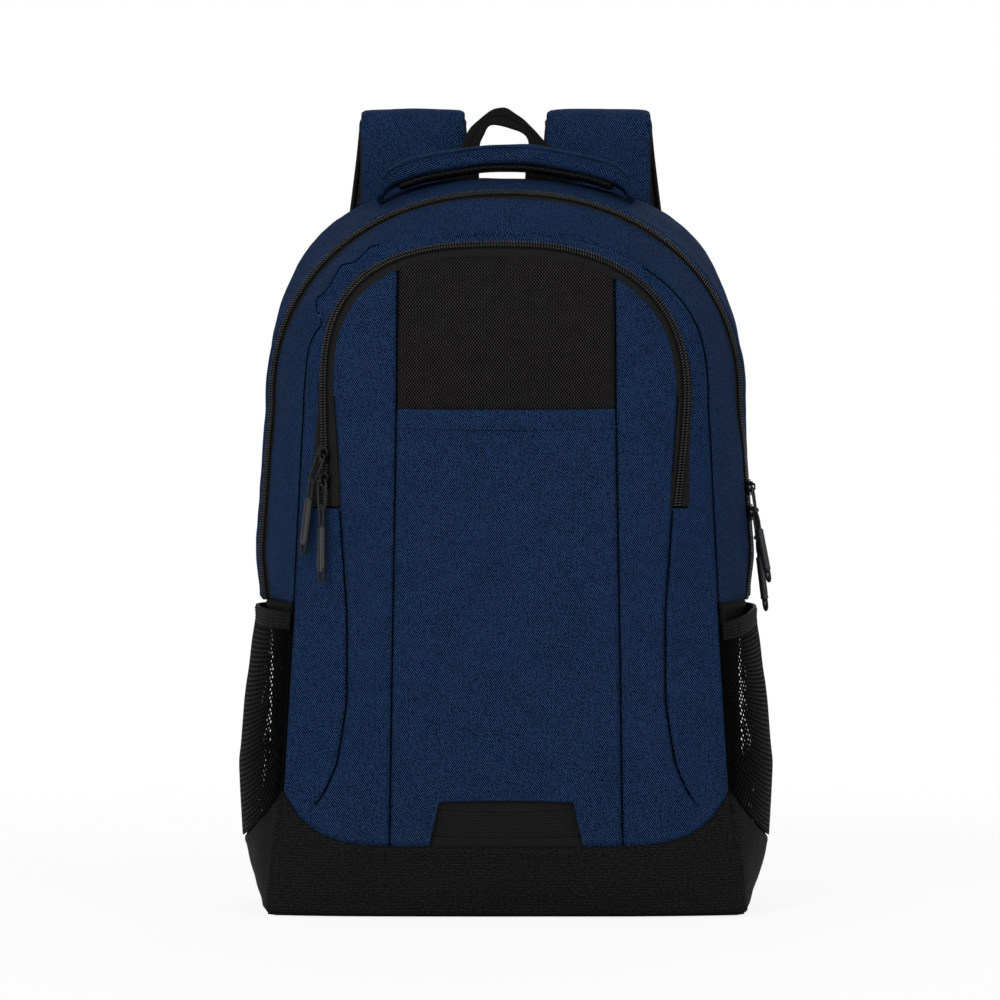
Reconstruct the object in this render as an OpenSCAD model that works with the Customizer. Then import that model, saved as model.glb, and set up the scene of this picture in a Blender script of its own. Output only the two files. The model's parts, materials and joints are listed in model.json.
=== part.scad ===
// School backpack: padded back, two zipped compartments, slip pocket and mesh side pockets.
// Millimetres, +Z up. The front faces -Y and the origin is the middle of the base's underside.

/* [Bag] */
// Height of the top of the back panel
body_h = 468; // [450:1:490]
// Width of the back panel
body_w = 302; // [290:1:314]
// Depth of the base, front to back
body_d = 162; // [150:1:174]
// Width of the base at its front corners
base_w = 300; // [290:1:308]
// Height at which the opened front folds down
fold_z = 325; // [315:1:335]
// Thickness of the outer fabric with its lining
fabric_t = 1.6; // [1:0.1:2.2]
// Gap left along each seam between two panels
seam_gap = 0.3; // [0.2:0.05:0.4]
// Gap between the fixed and the opening half at the fold
fold_gap = 0.4; // [0.3:0.1:0.8]

/* [Front panel] */
// Width of the front panel between its side seams at the fold
seam_w = 254; // [248:1:262]
// Height of the front panel's top seam
seam_h = 429; // [427:1:434]
// How far the front swells forward of the base
front_swell = 11; // [8:1:14]
// Width of the centre panel
centre_w = 136; // [120:1:150]
// Height of the slip pocket's hem
hem_z = 316; // [300:1:317]
// Gap between the slip pocket and the panel behind it
slip_gap = 1.5; // [1:0.1:2.5]
// Width of the lash strap across the foot of the front
lash_w = 102; // [98:1:110]
// Height of the lash strap's webbing
lash_h = 17; // [12:1:22]
// Width of the slip pocket's window at its top
window_w = 82; // [70:1:86]
// How much wider the window is at its foot
window_flare = 14; // [8:1:15]
// Height of the window in front of the lash strap
window_h = 28; // [24:1:32]

/* [Main zip] */
// Width between the legs of the main zip at the fold
zip_w = 300; // [296:1:302]
// Width between the legs of the main zip where the bag is widest
zip_knee_w = 314; // [310:1:318]
// Height at which the bag is widest
zip_knee_z = 226; // [222:1:230]
// Width between the feet of the main zip
zip_foot_w = 308; // [304:1:312]
// Height of the feet of the main zip
zip_foot_z = 196; // [192:1:204]
// Height of the main zip's top
zip_h = 457; // [452:1:460]
// Distance from the back panel to the main zip
zip_back = 77; // [72:1:82]
// Height of the upper slider on the main zip
main_slider_z = 268; // [264:1:270]

/* [Pocket zip] */
// Distance from the front seam to the pocket's zip at the sides
pocket_side = 13; // [12:0.5:15]
// Distance from the front seam to the pocket's zip at the top
pocket_drop = 9; // [8:0.5:12]
// Height of the feet of the pocket zip
pocket_foot_z = 256; // [250:1:258]
// Height of the upper slider on the pocket zip
pocket_slider_z = 288; // [286:1:290]

/* [Zip fastener] */
// Width of each half of the zip tape
tape_w = 6.5; // [5.5:0.5:8]
// Thickness of the zip tape
tape_t = 0.8; // [0.6:0.1:1]
// Height of the coil above the tape
coil_h = 1.6; // [1.4:0.1:1.8]
// Width of each half of the coil
coil_w = 2.2; // [2:0.1:2.4]
// Distance from the middle of the zip to each half
coil_gap = 0.6; // [0.5:0.1:0.8]
// Length of a slider
slider_l = 10.5; // [9:0.5:11.5]
// Distance between the two sliders of a zip
slider_pitch = 16; // [15:0.5:18]
// Thickness of a slider's plates
plate_t = 1; // [0.8:0.1:1.2]
// Clearance between a slider and the zip that it runs on
slider_clear = 0.35; // [0.3:0.05:0.5]
// Radius of a puller's wire
wire_r = 0.65; // [0.5:0.05:0.75]
// Length of a puller's wire loop
bail_l = 18; // [15:1:20]
// Width of a puller's wire loop
bail_w = 6; // [5.6:0.2:7]
// Radius of a pull's cord
cord_r = 1.1; // [0.9:0.1:1.2]
// Radius of the tube on a pull's cord
tube_r = 2.7; // [2.2:0.1:3]
// Length of the tube on a pull's cord
tube_l = 27; // [22:1:28]

/* [Side pockets] */
// Height of the top of the mesh pockets' elastic
elastic_z = 193; // [186:1:193]
// Height of the elastic band
elastic_h = 11; // [8:1:14]
// Fullness of the mesh pockets
pocket_full = 18; // [14:1:20]
// Thickness of the mesh
mesh_t = 1; // [0.8:0.1:1.4]

/* [Base] */
// Height of the black base at the middle of the front
boot_front_z = 45; // [40:1:48]
// Height of the black base at the front corners
boot_corner_z = 78; // [72:1:82]
// Height of the black base at the sides and the back
boot_side_z = 45; // [40:1:50]
// Thickness of the base's fabric
base_t = 2.4; // [2:0.1:3]
// How far the sides of the base stand out under the side pockets
boot_full = 10; // [8:0.5:11]
// Thickness of the stiffening board in the base
board_t = 3; // [2:0.5:4]

/* [Back] */
// Thickness of the back panel
back_t = 4; // [3:0.5:5]
// Thickness of the back pads
pad_t = 9; // [7:1:11]
// Width of the channel between the back pads
channel_w = 34; // [28:1:44]
// Distance of the laptop sleeve from the back panel
sleeve_gap = 20; // [16:1:24]
// Thickness of the laptop sleeve
sleeve_t = 3; // [2:0.5:4]
// Height of the laptop sleeve
sleeve_h = 292; // [260:1:298]
// Lowest edge of the upper back pads
pad_low = 132; // [128:1:140]
// Highest edge of the upper back pads
pad_top = 402; // [390:1:404]
// Gap between the lower and the higher of them
pad_gap = 8; // [4:1:12]
// Lowest edge of the lumbar pad
lumbar_low = 34; // [24:1:40]
// Highest edge of the lumbar pad
lumbar_high = 122; // [110:1:126]

/* [Straps] */
// Distance between the middles of the shoulder straps at the top
strap_pitch = 122; // [116:1:126]
// Width of a shoulder strap at the top
strap_w = 68; // [60:1:72]
// Width of a shoulder strap at its lower end
strap_end_w = 46; // [42:1:52]
// Thickness of a shoulder strap's pad
strap_t = 9; // [7:0.5:10]
// Thickness of the mesh under a shoulder strap
strap_mesh_t = 2.4; // [1.6:0.2:3]
// Width of the webbing
webbing_w = 25; // [20:1:28]
// Thickness of the webbing
webbing_t = 1.6; // [1.2:0.1:2]
// Height of the shoulder straps' crown
strap_top_z = 522; // [518:1:526]

/* [Handle] */
// Distance between the handle's ends
handle_w = 164; // [156:1:168]
// Width of the handle's grip, front to back
handle_d = 30; // [24:1:32]
// Thickness of the handle's padding
handle_t = 11; // [9:1:13]
// Height of the handle's crown
handle_z = 491; // [488:1:496]
// Height of the hang loop's top
loop_z = 520; // [514:1:524]

/* [Hidden] */

navy = [0.08, 0.13, 0.27];
black = [0.06, 0.06, 0.07];
gunmetal = [0.18, 0.18, 0.2];

back_y = body_d / 2;
front_y0 = -body_d / 2;
zip_y = back_y - zip_back;
arch_steps = 24;

pocket_w = seam_w - 2 * pocket_side;
pocket_h = seam_h - pocket_drop;

// ---- Outlines: each is a superellipse arch above the fold, [half width, rise, squareness] ----
rear_arch = [body_w / 2, body_h - fold_z, 3];
zip_arch = [zip_w / 2, zip_h - fold_z, 2.15];
seam_arch = [seam_w / 2, seam_h - fold_z, 2.5];
pocket_arch = [pocket_w / 2, pocket_h - fold_z, 2.5];

// Half widths below the fold, as [height, half width]
seam_profile = [[0, base_w / 2], [24, base_w / 2 - 4], [70, seam_w / 2 + 13],
                [zip_foot_z, seam_w / 2 + 6], [fold_z, seam_w / 2]];
side_profile = [[0, base_w / 2 + 1], [7, base_w / 2 + 4], [46, base_w / 2 + 8],
                [100, zip_foot_w / 2 - 3], [150, zip_foot_w / 2 - 6], [184, zip_foot_w / 2 - 4.5],
                [zip_foot_z, zip_foot_w / 2], [zip_knee_z, zip_knee_w / 2], [fold_z, zip_w / 2]];
rear_profile = [[0, body_w / 2 - 5], [20, body_w / 2 - 1], [60, body_w / 2 + 1],
                [260, body_w / 2 + 1], [fold_z, body_w / 2]];
// How far the front seam lies behind the front of the base, and the centre in front of it
seam_setback = [[0, 11], [zip_foot_z, 19], [fold_z, 26]];
top_setback = 43;
swell_profile = [[0, -1], [15, front_swell - 6], [100, front_swell], [200, front_swell],
                 [fold_z, front_swell - 5]];
// Squareness of the front's swell at its sides and at its top
side_square = 4;
top_square = 2.4;
// Half width of the princess seams, as [height, half width]
princess_profile = [[40, 140], [60, 125], [78, 113], [96, 105], [134, 99], [190, 99],
                    [pocket_foot_z, pocket_w / 2 - 9], [fold_z, pocket_w / 2 - 9]];
centre_flare = 5;

function mix(a, b, t) = a + (b - a) * t;
function unit(v) = v / norm(v);
function steps(n) = [for (k = [0:n]) k / n];

// A point [x, z] of an arch, with t from 0 at the left foot to 180 at the right foot
function arch(o, t) =
  let (c = cos(t), s = sin(t), base = fold_z + fold_gap / 2)
  [-o[0] * sign(c) * pow(abs(c), 2 / o[2]), base + (o[1] - fold_gap / 2) * pow(abs(s), 2 / o[2])];

// The outward normal [x, z] of an arch at t
function arch_normal(o, t) =
  let (e = 2 - 2 / o[2], c = cos(t))
  unit([-sign(c) * pow(abs(c), e) / o[0], pow(abs(sin(t)), e) / o[1]]);

function seam_x(z) = lookup(z, seam_profile);
function rear_x(z) = lookup(z, rear_profile);
function side_x(z) = lookup(z, side_profile);
function centre_x(z) = centre_w / 2 + (z < fold_z ? centre_flare * (1 - z / fold_z) : 0);
function princess_x(z) = lookup(z, princess_profile);

function seam_y(z) = front_y0 + (z < fold_z
  ? lookup(z, seam_setback)
  : mix(lookup(fold_z, seam_setback), top_setback, pow((z - fold_z) / (seam_h - fold_z), 2)));

function crown_y(z) = front_y0 - lookup(min(z, fold_z), swell_profile);

// The outer surface of the front: a swell that is flat in the middle and falls to the seam
function front_y(x, z) =
  let (
    n = seam_arch[2],
    u = pow(abs(x) / seam_x(min(z, fold_z)), n),
    w = pow(max(0, z - fold_z) / (seam_h - fold_z), n),
    f = min(1, pow(u + w, 1 / n)),
    top = u + w > 0 ? w / (u + w) : 0,
    edge_z = z > fold_z ? fold_z + (z - fold_z) / max(f, 0.001) : z,
    edge_y = seam_y(min(edge_z, seam_h)))
  mix(edge_y, crown_y(z), 1 - pow(f, mix(side_square, top_square, top)));

// A point of the front at a depth d behind its outer surface
function front_point(x, z, d = 0) = [x, front_y(x, z) + d, z];

// ---- The bag's side and top wall, by stations around it ----
// A station is [seam point, mid point, rear point, seam's y, outward normal], points as [x, z]
function leg_station(side, z) =
  [[side * seam_x(z), z], [side * side_x(z), z], [side * rear_x(z), z], seam_y(z), [side, 0]];
function arch_station(t) =
  let (s = arch(seam_arch, t))
  [s, arch(zip_arch, t), arch(rear_arch, t), seam_y(s[1]), arch_normal(zip_arch, t)];

arch_stations = [for (k = [0:arch_steps]) arch_station(180 * k / arch_steps)];
leg_heights = [zip_foot_z, zip_knee_z, mix(zip_knee_z, fold_z, 0.3), mix(zip_knee_z, fold_z, 0.6)];
function leg_stations(side, heights) = [for (z = heights) leg_station(side, z)];
function reversed(v) = [for (k = [len(v) - 1:-1:0]) v[k]];
all_stations = concat(leg_stations(-1, leg_heights), arch_stations,
                      leg_stations(1, reversed(leg_heights)));

// A point of the wall at y, at a depth d inside its outer surface
function wall(st, y, d = 0) =
  let (
    deep = back_y - st[3],
    v = (y - st[3]) / deep,
    mid = (zip_y - st[3]) / deep,
    p = mix(st[0], st[2], v) + (st[1] - mix(st[0], st[2], mid)) * v * (1 - v) / (mid * (1 - mid)))
  [p[0] - d * st[4][0], y, p[1] - d * st[4][1]];

// ---- Solids from grids of points ----
// A closed solid between two grids of points of the same size, in rows
module sheet(o, i) {
  r = len(o);
  c = len(o[0]);
  n = r * c;
  pts = concat([for (row = o) each row], [for (row = i) each row]);
  a = floor((r - 1) / 2);
  b = floor((c - 1) / 2);
  facing = cross(o[a + 1][b] - o[a][b], o[a][b + 1] - o[a][b]) * (o[a][b] - i[a][b]);
  id = function (k, p, q) k * n + p * c + q;
  quad = function (p, q, s, t) [[p, q, s], [p, s, t]];
  faces = concat(
    [for (p = [0:r - 2]) for (q = [0:c - 2])
      each quad(id(0, p, q), id(0, p + 1, q), id(0, p + 1, q + 1), id(0, p, q + 1))],
    [for (p = [0:r - 2]) for (q = [0:c - 2])
      each quad(id(1, p, q), id(1, p, q + 1), id(1, p + 1, q + 1), id(1, p + 1, q))],
    [for (p = [0:r - 2]) each quad(id(0, p, 0), id(1, p, 0), id(1, p + 1, 0), id(0, p + 1, 0))],
    [for (p = [0:r - 2])
      each quad(id(0, p, c - 1), id(0, p + 1, c - 1), id(1, p + 1, c - 1), id(1, p, c - 1))],
    [for (q = [0:c - 2]) each quad(id(0, 0, q), id(0, 0, q + 1), id(1, 0, q + 1), id(1, 0, q))],
    [for (q = [0:c - 2])
      each quad(id(0, r - 1, q), id(1, r - 1, q), id(1, r - 1, q + 1), id(0, r - 1, q + 1))]);
  polyhedron(pts, facing > 0 ? [for (f = faces) [f[2], f[1], f[0]]] : faces);
}

// A closed solid through rings of the same number of points, capped at both ends
module loft(rings) {
  m = len(rings[0]);
  last = len(rings) - 1;
  pts = [for (ring = rings) each ring];
  middle = function (ring) [for (p = ring) 1] * ring / m;
  along = middle(rings[1]) - middle(rings[0]);
  turn = cross(rings[0][1] - rings[0][0], rings[0][2] - rings[0][1]) * along;
  sides = [for (r = [0:last - 1]) for (k = [0:m - 1]) let (
      a = r * m + k, b = r * m + (k + 1) % m, c = a + m, d = b + m)
    each [[a, c, d], [a, d, b]]];
  faces = concat([[for (k = [0:m - 1]) k]], sides, [[for (k = [m - 1:-1:0]) last * m + k]]);
  polyhedron(pts, turn > 0 ? faces : [for (f = faces) [for (k = [len(f) - 1:-1:0]) f[k]]]);
}

// A rounded bar's ring: middle c, half width and half height along unit vectors w and n
function bar_ring(c, w, n, hw, hh, edge) =
  let (e = min(edge, hh * 0.95, hw * 0.95))
  [for (p = [[hw, -hh + e], [hw, hh - e], [hw - e, hh], [-hw + e, hh], [-hw, hh - e],
             [-hw, -hh + e], [-hw + e, -hh], [hw - e, -hh]]) c + w * p[0] + n * p[1]];

// ---- Frames, [origin, x, y, z] ----
function frame(o, out, up) =
  let (z = unit(up), y = unit(cross(z, out))) [o, cross(y, z), y, z];
// A frame swung in its own plane and then tipped outward about its y
function turned(f, swing, tip) =
  let (
    y = f[2] * cos(swing) + f[3] * sin(swing),
    z = f[3] * cos(swing) - f[2] * sin(swing))
  [f[0], f[1] * cos(tip) + z * sin(tip), y, z * cos(tip) - f[1] * sin(tip)];
function at_frame(f, p) = f[0] + f[1] * p[0] + f[2] * p[1] + f[3] * p[2];

module place(f) {
  multmatrix([for (k = [0:2]) [f[1][k], f[2][k], f[3][k], f[0][k]]]) children();
}

module both_sides() {
  children();
  mirror([1, 0, 0]) children();
}

// ---- Zips ----
main_tilt = 16;
pocket_tilt_leg = 33;
pocket_tilt_top = 44;
reveal = tape_w + seam_gap;

// Half of a zip in section, as [distance from the middle, height above the tape]
zip_half = [[coil_gap, -tape_t], [tape_w, -tape_t], [tape_w, 0], [coil_gap + coil_w, 0],
            [coil_gap + coil_w, coil_h], [coil_gap, coil_h]];

// A zip point at [u, h], on the front side (side -1) or the back side (1) of the main zip
function main_zip_point(mid, normal, side, u, h) =
  let (out = h * cos(main_tilt) + side * u * sin(main_tilt))
  [mid[0] + normal[0] * out, zip_y + side * u * cos(main_tilt) - h * sin(main_tilt),
   mid[1] + normal[1] * out];
function main_zip_ring(mid, normal, side) =
  [for (p = zip_half) main_zip_point(mid, normal, side, p[0], p[1])];
function main_leg_ring(leg, z, side) = main_zip_ring([leg * side_x(z), z], [leg, 0], side);
main_arch_mids = [for (k = [0:arch_steps]) let (t = 180 * k / arch_steps)
                  [arch(zip_arch, t), arch_normal(zip_arch, t)]];

// The pocket zip's middle line lies on the front's surface
function pocket_leg_x(z) = pocket_w / 2 - 2 * (fold_z - z) / (fold_z - pocket_foot_z);
pocket_fold_y = front_y(pocket_w / 2, fold_z);
pocket_foot_y = front_y(pocket_leg_x(pocket_foot_z), pocket_foot_z);
function pocket_leg_point(leg, z) =
  let (t = (z - pocket_foot_z) / (fold_z - pocket_foot_z))
  [leg * pocket_leg_x(z), mix(pocket_foot_y, pocket_fold_y, t), z];
function pocket_tilt(z) =
  mix(pocket_tilt_leg, pocket_tilt_top, max(0, (z - fold_z) / (pocket_h - fold_z)));
function pocket_zip_point(mid, normal, side, u, h) =
  let (a = pocket_tilt(mid[2]), in_plane = side * u * cos(a) + h * sin(a))
  mid + [normal[0] * in_plane, side * u * sin(a) - h * cos(a), normal[1] * in_plane];
function pocket_zip_ring(mid, normal, side) =
  [for (p = zip_half) pocket_zip_point(mid, normal, side, p[0], p[1])];
pocket_arch_mids = [for (k = [0:arch_steps]) let (
    t = 180 * k / arch_steps, p = arch(pocket_arch, t))
  [[p[0], front_y(p[0], p[1]), p[1]], arch_normal(pocket_arch, t)]];

// ---- Sliders and pulls: x outward, y across the zip, z up the zip ----
plate_low = -tape_t - slider_clear - plate_t;
plate_high = coil_h + slider_clear;
slider_w = 2 * (coil_gap + coil_w + slider_clear + plate_t);
crown_w = 2;
eye_r = 2 * wire_r;
pivot_h = plate_high + plate_t + eye_r;
crown_h = pivot_h + eye_r + 0.7;

main_leg = [(zip_w - zip_knee_w) / 2, 0, fold_z - zip_knee_z];
main_out = [cos(main_tilt), -sin(main_tilt), 0];
function main_slider_frame(z) = frame([side_x(z), zip_y, z], main_out, main_leg);
pocket_leg = pocket_leg_point(-1, fold_z) - pocket_leg_point(-1, pocket_foot_z);
pocket_out = [-sin(pocket_tilt_leg), -cos(pocket_tilt_leg), 0];
function pocket_slider_frame(z) = frame(pocket_leg_point(-1, z), pocket_out, pocket_leg);
main_lower_z = main_slider_z - slider_pitch;
pocket_lower_z = pocket_slider_z - slider_pitch;

// The wire loop turns at the crown's eye, and the cord at the foot of the wire loop
function bail_frame(f, swing, tip) = turned([at_frame(f, [pivot_h, 0, 0]), f[1], f[2], f[3]], swing, tip);

upper_swing = -24;
upper_cord_swing = 16;
main_upper_tip = 9;
lower_tip = 3;
main_bail_upper = bail_frame(main_slider_frame(main_slider_z), upper_swing, main_upper_tip);
main_bail_lower = bail_frame(main_slider_frame(main_lower_z), 0, lower_tip);
pocket_bail_upper = bail_frame(pocket_slider_frame(pocket_slider_z), upper_swing, lower_tip);
pocket_bail_lower = bail_frame(pocket_slider_frame(pocket_lower_z), 0, lower_tip);

module slider() {
  half = slider_l / 2;
  color(gunmetal) {
    for (low = [plate_low, plate_high])
      translate([low, 0, 0]) rotate([0, 90, 0]) linear_extrude(plate_t)
        polygon([[-half, -slider_w / 2 + 1.4], [-half + 3, -slider_w / 2],
                 [half - 1, -slider_w / 2 + 0.6], [half, -slider_w / 2 + 1.6],
                 [half, slider_w / 2 - 1.6], [half - 1, slider_w / 2 - 0.6],
                 [-half + 3, slider_w / 2], [-half, slider_w / 2 - 1.4]]);
    // the wedge that parts the coils
    translate([plate_low + plate_t / 2, -coil_gap / 2, half - 4])
      cube([plate_high - plate_low, coil_gap, 3.2]);
    // the rims that hold the coils in
    for (side = [-1, 1])
      translate([slider_clear, side * (slider_w - plate_t) / 2 - plate_t / 2, -half + 3])
        cube([plate_high + plate_t / 2 - slider_clear, plate_t, slider_l - 5.5]);
    // the crown with the eye for the wire
    difference() {
      translate([plate_high + plate_t / 2, -crown_w / 2, -3.2])
        cube([crown_h - plate_high - plate_t / 2, crown_w, 7]);
      translate([pivot_h, 0, 0]) rotate([90, 0, 0])
        cylinder(r = eye_r, h = crown_w + 1, center = true, $fn = 32);
      for (end = [-3.4, 4])
        translate([crown_h, 0, end]) rotate([90, 0, 0])
          cylinder(r = 1.6, h = crown_w + 1, center = true, $fn = 32);
    }
  }
}

module wire(a, b) {
  d = b - a;
  translate(a) rotate([0, acos(d[2] / norm(d)), atan2(d[1], d[0])])
    cylinder(r = wire_r, h = norm(d), $fn = 20);
  translate(b) sphere(r = wire_r * 1.1, $fn = 20);
}

module bail() {
  top = bail_w / 2;
  foot = bail_w / 2 - 0.8;
  ring = [[0, -top, 0], [0, top, 0], [0, top, -6], [0, foot, -bail_l], [0, -foot, -bail_l], [0, -top, -6]];
  color(gunmetal) for (k = [0:len(ring) - 1]) wire(ring[k], ring[(k + 1) % len(ring)]);
}

cord_ring_r = wire_r + 0.25 + cord_r;
module pull(swing) {
  cord_l = 9;
  tail_l = 7;
  color(black) {
    rotate([90, 0, 0]) rotate_extrude($fn = 28) translate([cord_ring_r, 0]) circle(r = cord_r, $fn = 16);
    rotate([swing, 0, 0]) {
      translate([0, 0, -cord_l - cord_ring_r]) cylinder(r = cord_r, h = cord_l, $fn = 16);
      translate([0, 0, -cord_l - cord_ring_r - tube_l]) cylinder(r = tube_r, h = tube_l, $fn = 24);
      translate([0, 0, -cord_l - cord_ring_r - tube_l - tail_l])
        cylinder(r = cord_r, h = tail_l + 1, $fn = 16);
      translate([0, 0, -cord_l - cord_ring_r - tube_l - tail_l]) sphere(r = 1.6 * cord_r, $fn = 16);
    }
  }
}
function foot_frame(f) = [at_frame(f, [0, 0, -bail_l]), f[1], f[2], f[3]];

module main_slider_upper() { place(main_slider_frame(main_slider_z)) slider(); }
module main_slider_lower() { place(main_slider_frame(main_lower_z)) slider(); }
module pocket_slider_upper() { place(pocket_slider_frame(pocket_slider_z)) slider(); }
module pocket_slider_lower() { place(pocket_slider_frame(pocket_lower_z)) slider(); }
module main_puller_upper() { place(main_bail_upper) bail(); }
module main_puller_lower() { place(main_bail_lower) bail(); }
module pocket_puller_upper() { place(pocket_bail_upper) bail(); }
module pocket_puller_lower() { place(pocket_bail_lower) bail(); }
module main_cord_upper() { place(foot_frame(main_bail_upper)) pull(upper_cord_swing); }
module main_cord_lower() { place(foot_frame(main_bail_lower)) pull(0); }
module pocket_cord_upper() { place(foot_frame(pocket_bail_upper)) pull(upper_cord_swing); }
module pocket_cord_lower() { place(foot_frame(pocket_bail_lower)) pull(0); }

// ---- Walls ----
module wall_sheet(stations, y0, y1, n) {
  rows = function (d) [for (v = steps(n))
    [for (st = stations) wall(st, mix(y0(st), y1(st), v), d)]];
  color(navy) sheet(rows(0), rows(fabric_t));
}
behind_zip = function (st) zip_y + reveal;
before_zip = function (st) zip_y - reveal;
at_back = function (st) back_y;
at_seam = function (st) st[3] + fabric_t + 2 * seam_gap;

module rear_gusset() { wall_sheet(all_stations, behind_zip, at_back, 3); }
module front_gusset() { wall_sheet(arch_stations, at_seam, before_zip, 3); }
module front_gusset_lower() {
  for (side = [-1, 1])
    wall_sheet(leg_stations(side, concat(leg_heights, [panel_top])), at_seam, before_zip, 3);
}

// Top edge of the base at the side, falling from the front corner to the back
function boot_side(st_y, y) =
  boot_side_z + (boot_corner_z - boot_side_z) * pow((back_y - y) / (back_y - st_y), 5);
function boot_front(x) =
  boot_front_z + (boot_corner_z - boot_front_z) * pow(abs(x) / seam_x(boot_corner_z), 8);

side_cols = 8;
// Columns stand closer together towards the front, where the base's edge curves
side_spread = [for (k = [0:side_cols]) pow(k / side_cols, 1.6)];
side_inset = fabric_t + 2 * seam_gap;
boot_inset = base_t + seam_gap;
module side_wall(side) {
  // the wall goes down inside the base, and comes out to the bag's surface above the base's edge
  rows = 5;
  step_out = 6;
  top = zip_foot_z - seam_gap;
  foot = base_t + board_t + 2;
  y_at = function (v) mix(seam_y(boot_side_z) + side_inset, back_y, v);
  edge = function (v) boot_side(seam_y(boot_side_z), y_at(v)) + 2 * seam_gap;
  levels = concat([[0, 0], [0, 1]], [for (h = steps(rows)) [1, h]]);
  grid = function (d) [for (level = levels) [for (v = side_spread) let (
      inside = level[0] == 0,
      z = inside ? mix(foot, edge(v), level[1]) : mix(edge(v) + step_out, top, level[1]),
      y0 = seam_y(z) + (inside ? boot_inset + seam_gap : side_inset),
      y1 = inside ? back_y - back_t - seam_gap : back_y)
    wall(leg_station(side, z), mix(y0, y1, v), d + (inside ? boot_inset : 0))]];
  color(black) sheet(grid(0), grid(fabric_t));
}
module side_wall_left() { side_wall(-1); }
module side_wall_right() { side_wall(1); }

// ---- Front panels below the fold ----
panel_top = fold_z - fold_gap / 2;
module front_sheet(x0, x1, z0, z1, cols, rows, d, t) {
  grid = function (depth) [for (v = steps(rows)) [for (h = steps(cols)) let (
      z_near = mix(z0(x0(boot_corner_z)), z1, v),
      x_near = mix(x0(z_near), x1(z_near), h),
      z = mix(z0(x_near), z1, v),
      x = mix(x0(z), x1(z), h))
    front_point(x, z, depth)]];
  sheet(grid(d), grid(d + t));
}
above_boot = function (x) boot_front(x) + 2 * seam_gap;

// The window over the lash strap, wider at its foot, which lies on the base's edge
window_top_z = boot_front_z + window_h;
module window() {
  half = window_w / 2;
  deep = 2 * front_swell;
  translate([0, front_y0 + deep, 0]) rotate([90, 0, 0]) linear_extrude(2 * deep)
    polygon([[-half - window_flare / 2, boot_front_z], [half + window_flare / 2, boot_front_z],
             [half, window_top_z], [-half, window_top_z]]);
}
module slip_pocket() {
  color(navy) difference() {
    front_sheet(function (z) -centre_x(z) + seam_gap / 2, function (z) centre_x(z) - seam_gap / 2,
                above_boot, hem_z, 8, 10, 0, fabric_t);
    window();
  }
}
module slip_pocket_back() {
  behind = fabric_t + slip_gap;
  low_z = 140;
  grid = function (d) [for (z = concat([for (v = steps(4)) mix(low_z, hem_z - 12, v)], [hem_z, panel_top]))
    [for (h = steps(8))
      front_point(mix(-1, 1, h) * (centre_x(z) - 1), z, d + (z > hem_z ? seam_gap : behind))]];
  color(black) sheet(grid(0), grid(1.2));
}
module front_panel(side) {
  color(navy) front_sheet(function (z) side * (centre_x(z) + seam_gap / 2),
                          function (z) side * (princess_x(z) - seam_gap / 2),
                          above_boot, panel_top, 4, 14, 0, fabric_t);
}
module front_panel_left() { front_panel(-1); }
module front_panel_right() { front_panel(1); }
module front_side_panels() {
  outer = function (z) seam_x(z);
  for (side = [-1, 1]) color(navy) {
    front_sheet(function (z) side * (princess_x(z) + seam_gap / 2), function (z) side * outer(z),
                above_boot, pocket_foot_z - seam_gap, 3, 12, 0, fabric_t);
    front_sheet(function (z) side * (pocket_leg_x(z) + reveal * cos(pocket_tilt_leg)),
                function (z) side * outer(z),
                function (x) pocket_foot_z, panel_top, 3, 4, 0, fabric_t);
  }
}
module lash_sheet(z0, z1, d, t) {
  grid = function (depth) [for (v = [0, 0.5, 1]) [for (h = steps(8))
    front_point(mix(-0.5, 0.5, h) * lash_w, mix(z0, z1, v), depth)]];
  color(black) sheet(grid(d), grid(d + t));
}
module lash_strap() {
  // the webbing behind the window, and the cloth that closes the window behind it
  middle = boot_front_z + window_h / 2;
  behind = fabric_t + seam_gap;
  lash_sheet(middle - lash_h / 2, middle + lash_h / 2, behind, webbing_t);
  lash_sheet(boot_front_z + seam_gap, window_top_z + 3, behind + webbing_t + seam_gap / 2, fabric_t);
}

// ---- Base ----
// Share of the bulge, as [height, share]
boot_fullness = [[0, 0], [4, 0.12], [14, 0.42], [28, 0.78], [46, 1]];
function swollen(v) = pow(max(0, 4 * v * (1 - v)), 0.5);
function boot_bulge(v, z) = boot_full * swollen(v) * lookup(z, boot_fullness);
front_cols = 10;
function boot_column(k, row, d, low) =
  // k counts from the back left corner, along the front, to the back right corner
  let (
    side = k < side_cols ? -1 : 1,
    on_side = k < side_cols || k > side_cols + front_cols,
    v = on_side ? side_spread[k < side_cols ? side_cols - k : k - side_cols - front_cols] : 0,
    f = (k - side_cols) / front_cols * 2 - 1)
  on_side
    ? let (
        y_low = mix(seam_y(boot_side_z), back_y, v),
        z = mix(low, boot_side(seam_y(boot_side_z), y_low), row),
        y = mix(seam_y(z) + (v < 0.01 ? d : 0), back_y, v))
      wall(leg_station(side, z), y, d - boot_bulge(v, z))
    : let (
        z = mix(low, boot_front(f * seam_x(boot_corner_z)), row),
        x = f * (seam_x(z) - (abs(f) > 0.99 ? d : 0)))
      front_point(x, z, d);
boot_last = 2 * side_cols + front_cols;
module base() {
  grid = function (d) [for (row = [0, 0.12, 0.4, 0.7, 1])
    [for (k = [0:boot_last]) boot_column(k, row, d, base_t)]];
  color(black) {
    linear_extrude(base_t)
      polygon([for (k = [0:boot_last]) let (p = boot_column(k, 0, 0, 0)) [p[0], p[1]]]);
    sheet(grid(0), grid(base_t));
  }
}
module base_board() {
  in = base_t + 2;
  color(gunmetal) translate([0, 0, base_t + seam_gap]) linear_extrude(board_t)
    polygon([for (k = [0:boot_last]) let (p = boot_column(k, 0, in, 0))
      [p[0], min(p[1], back_y - back_t - 2)]]);
}

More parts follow.
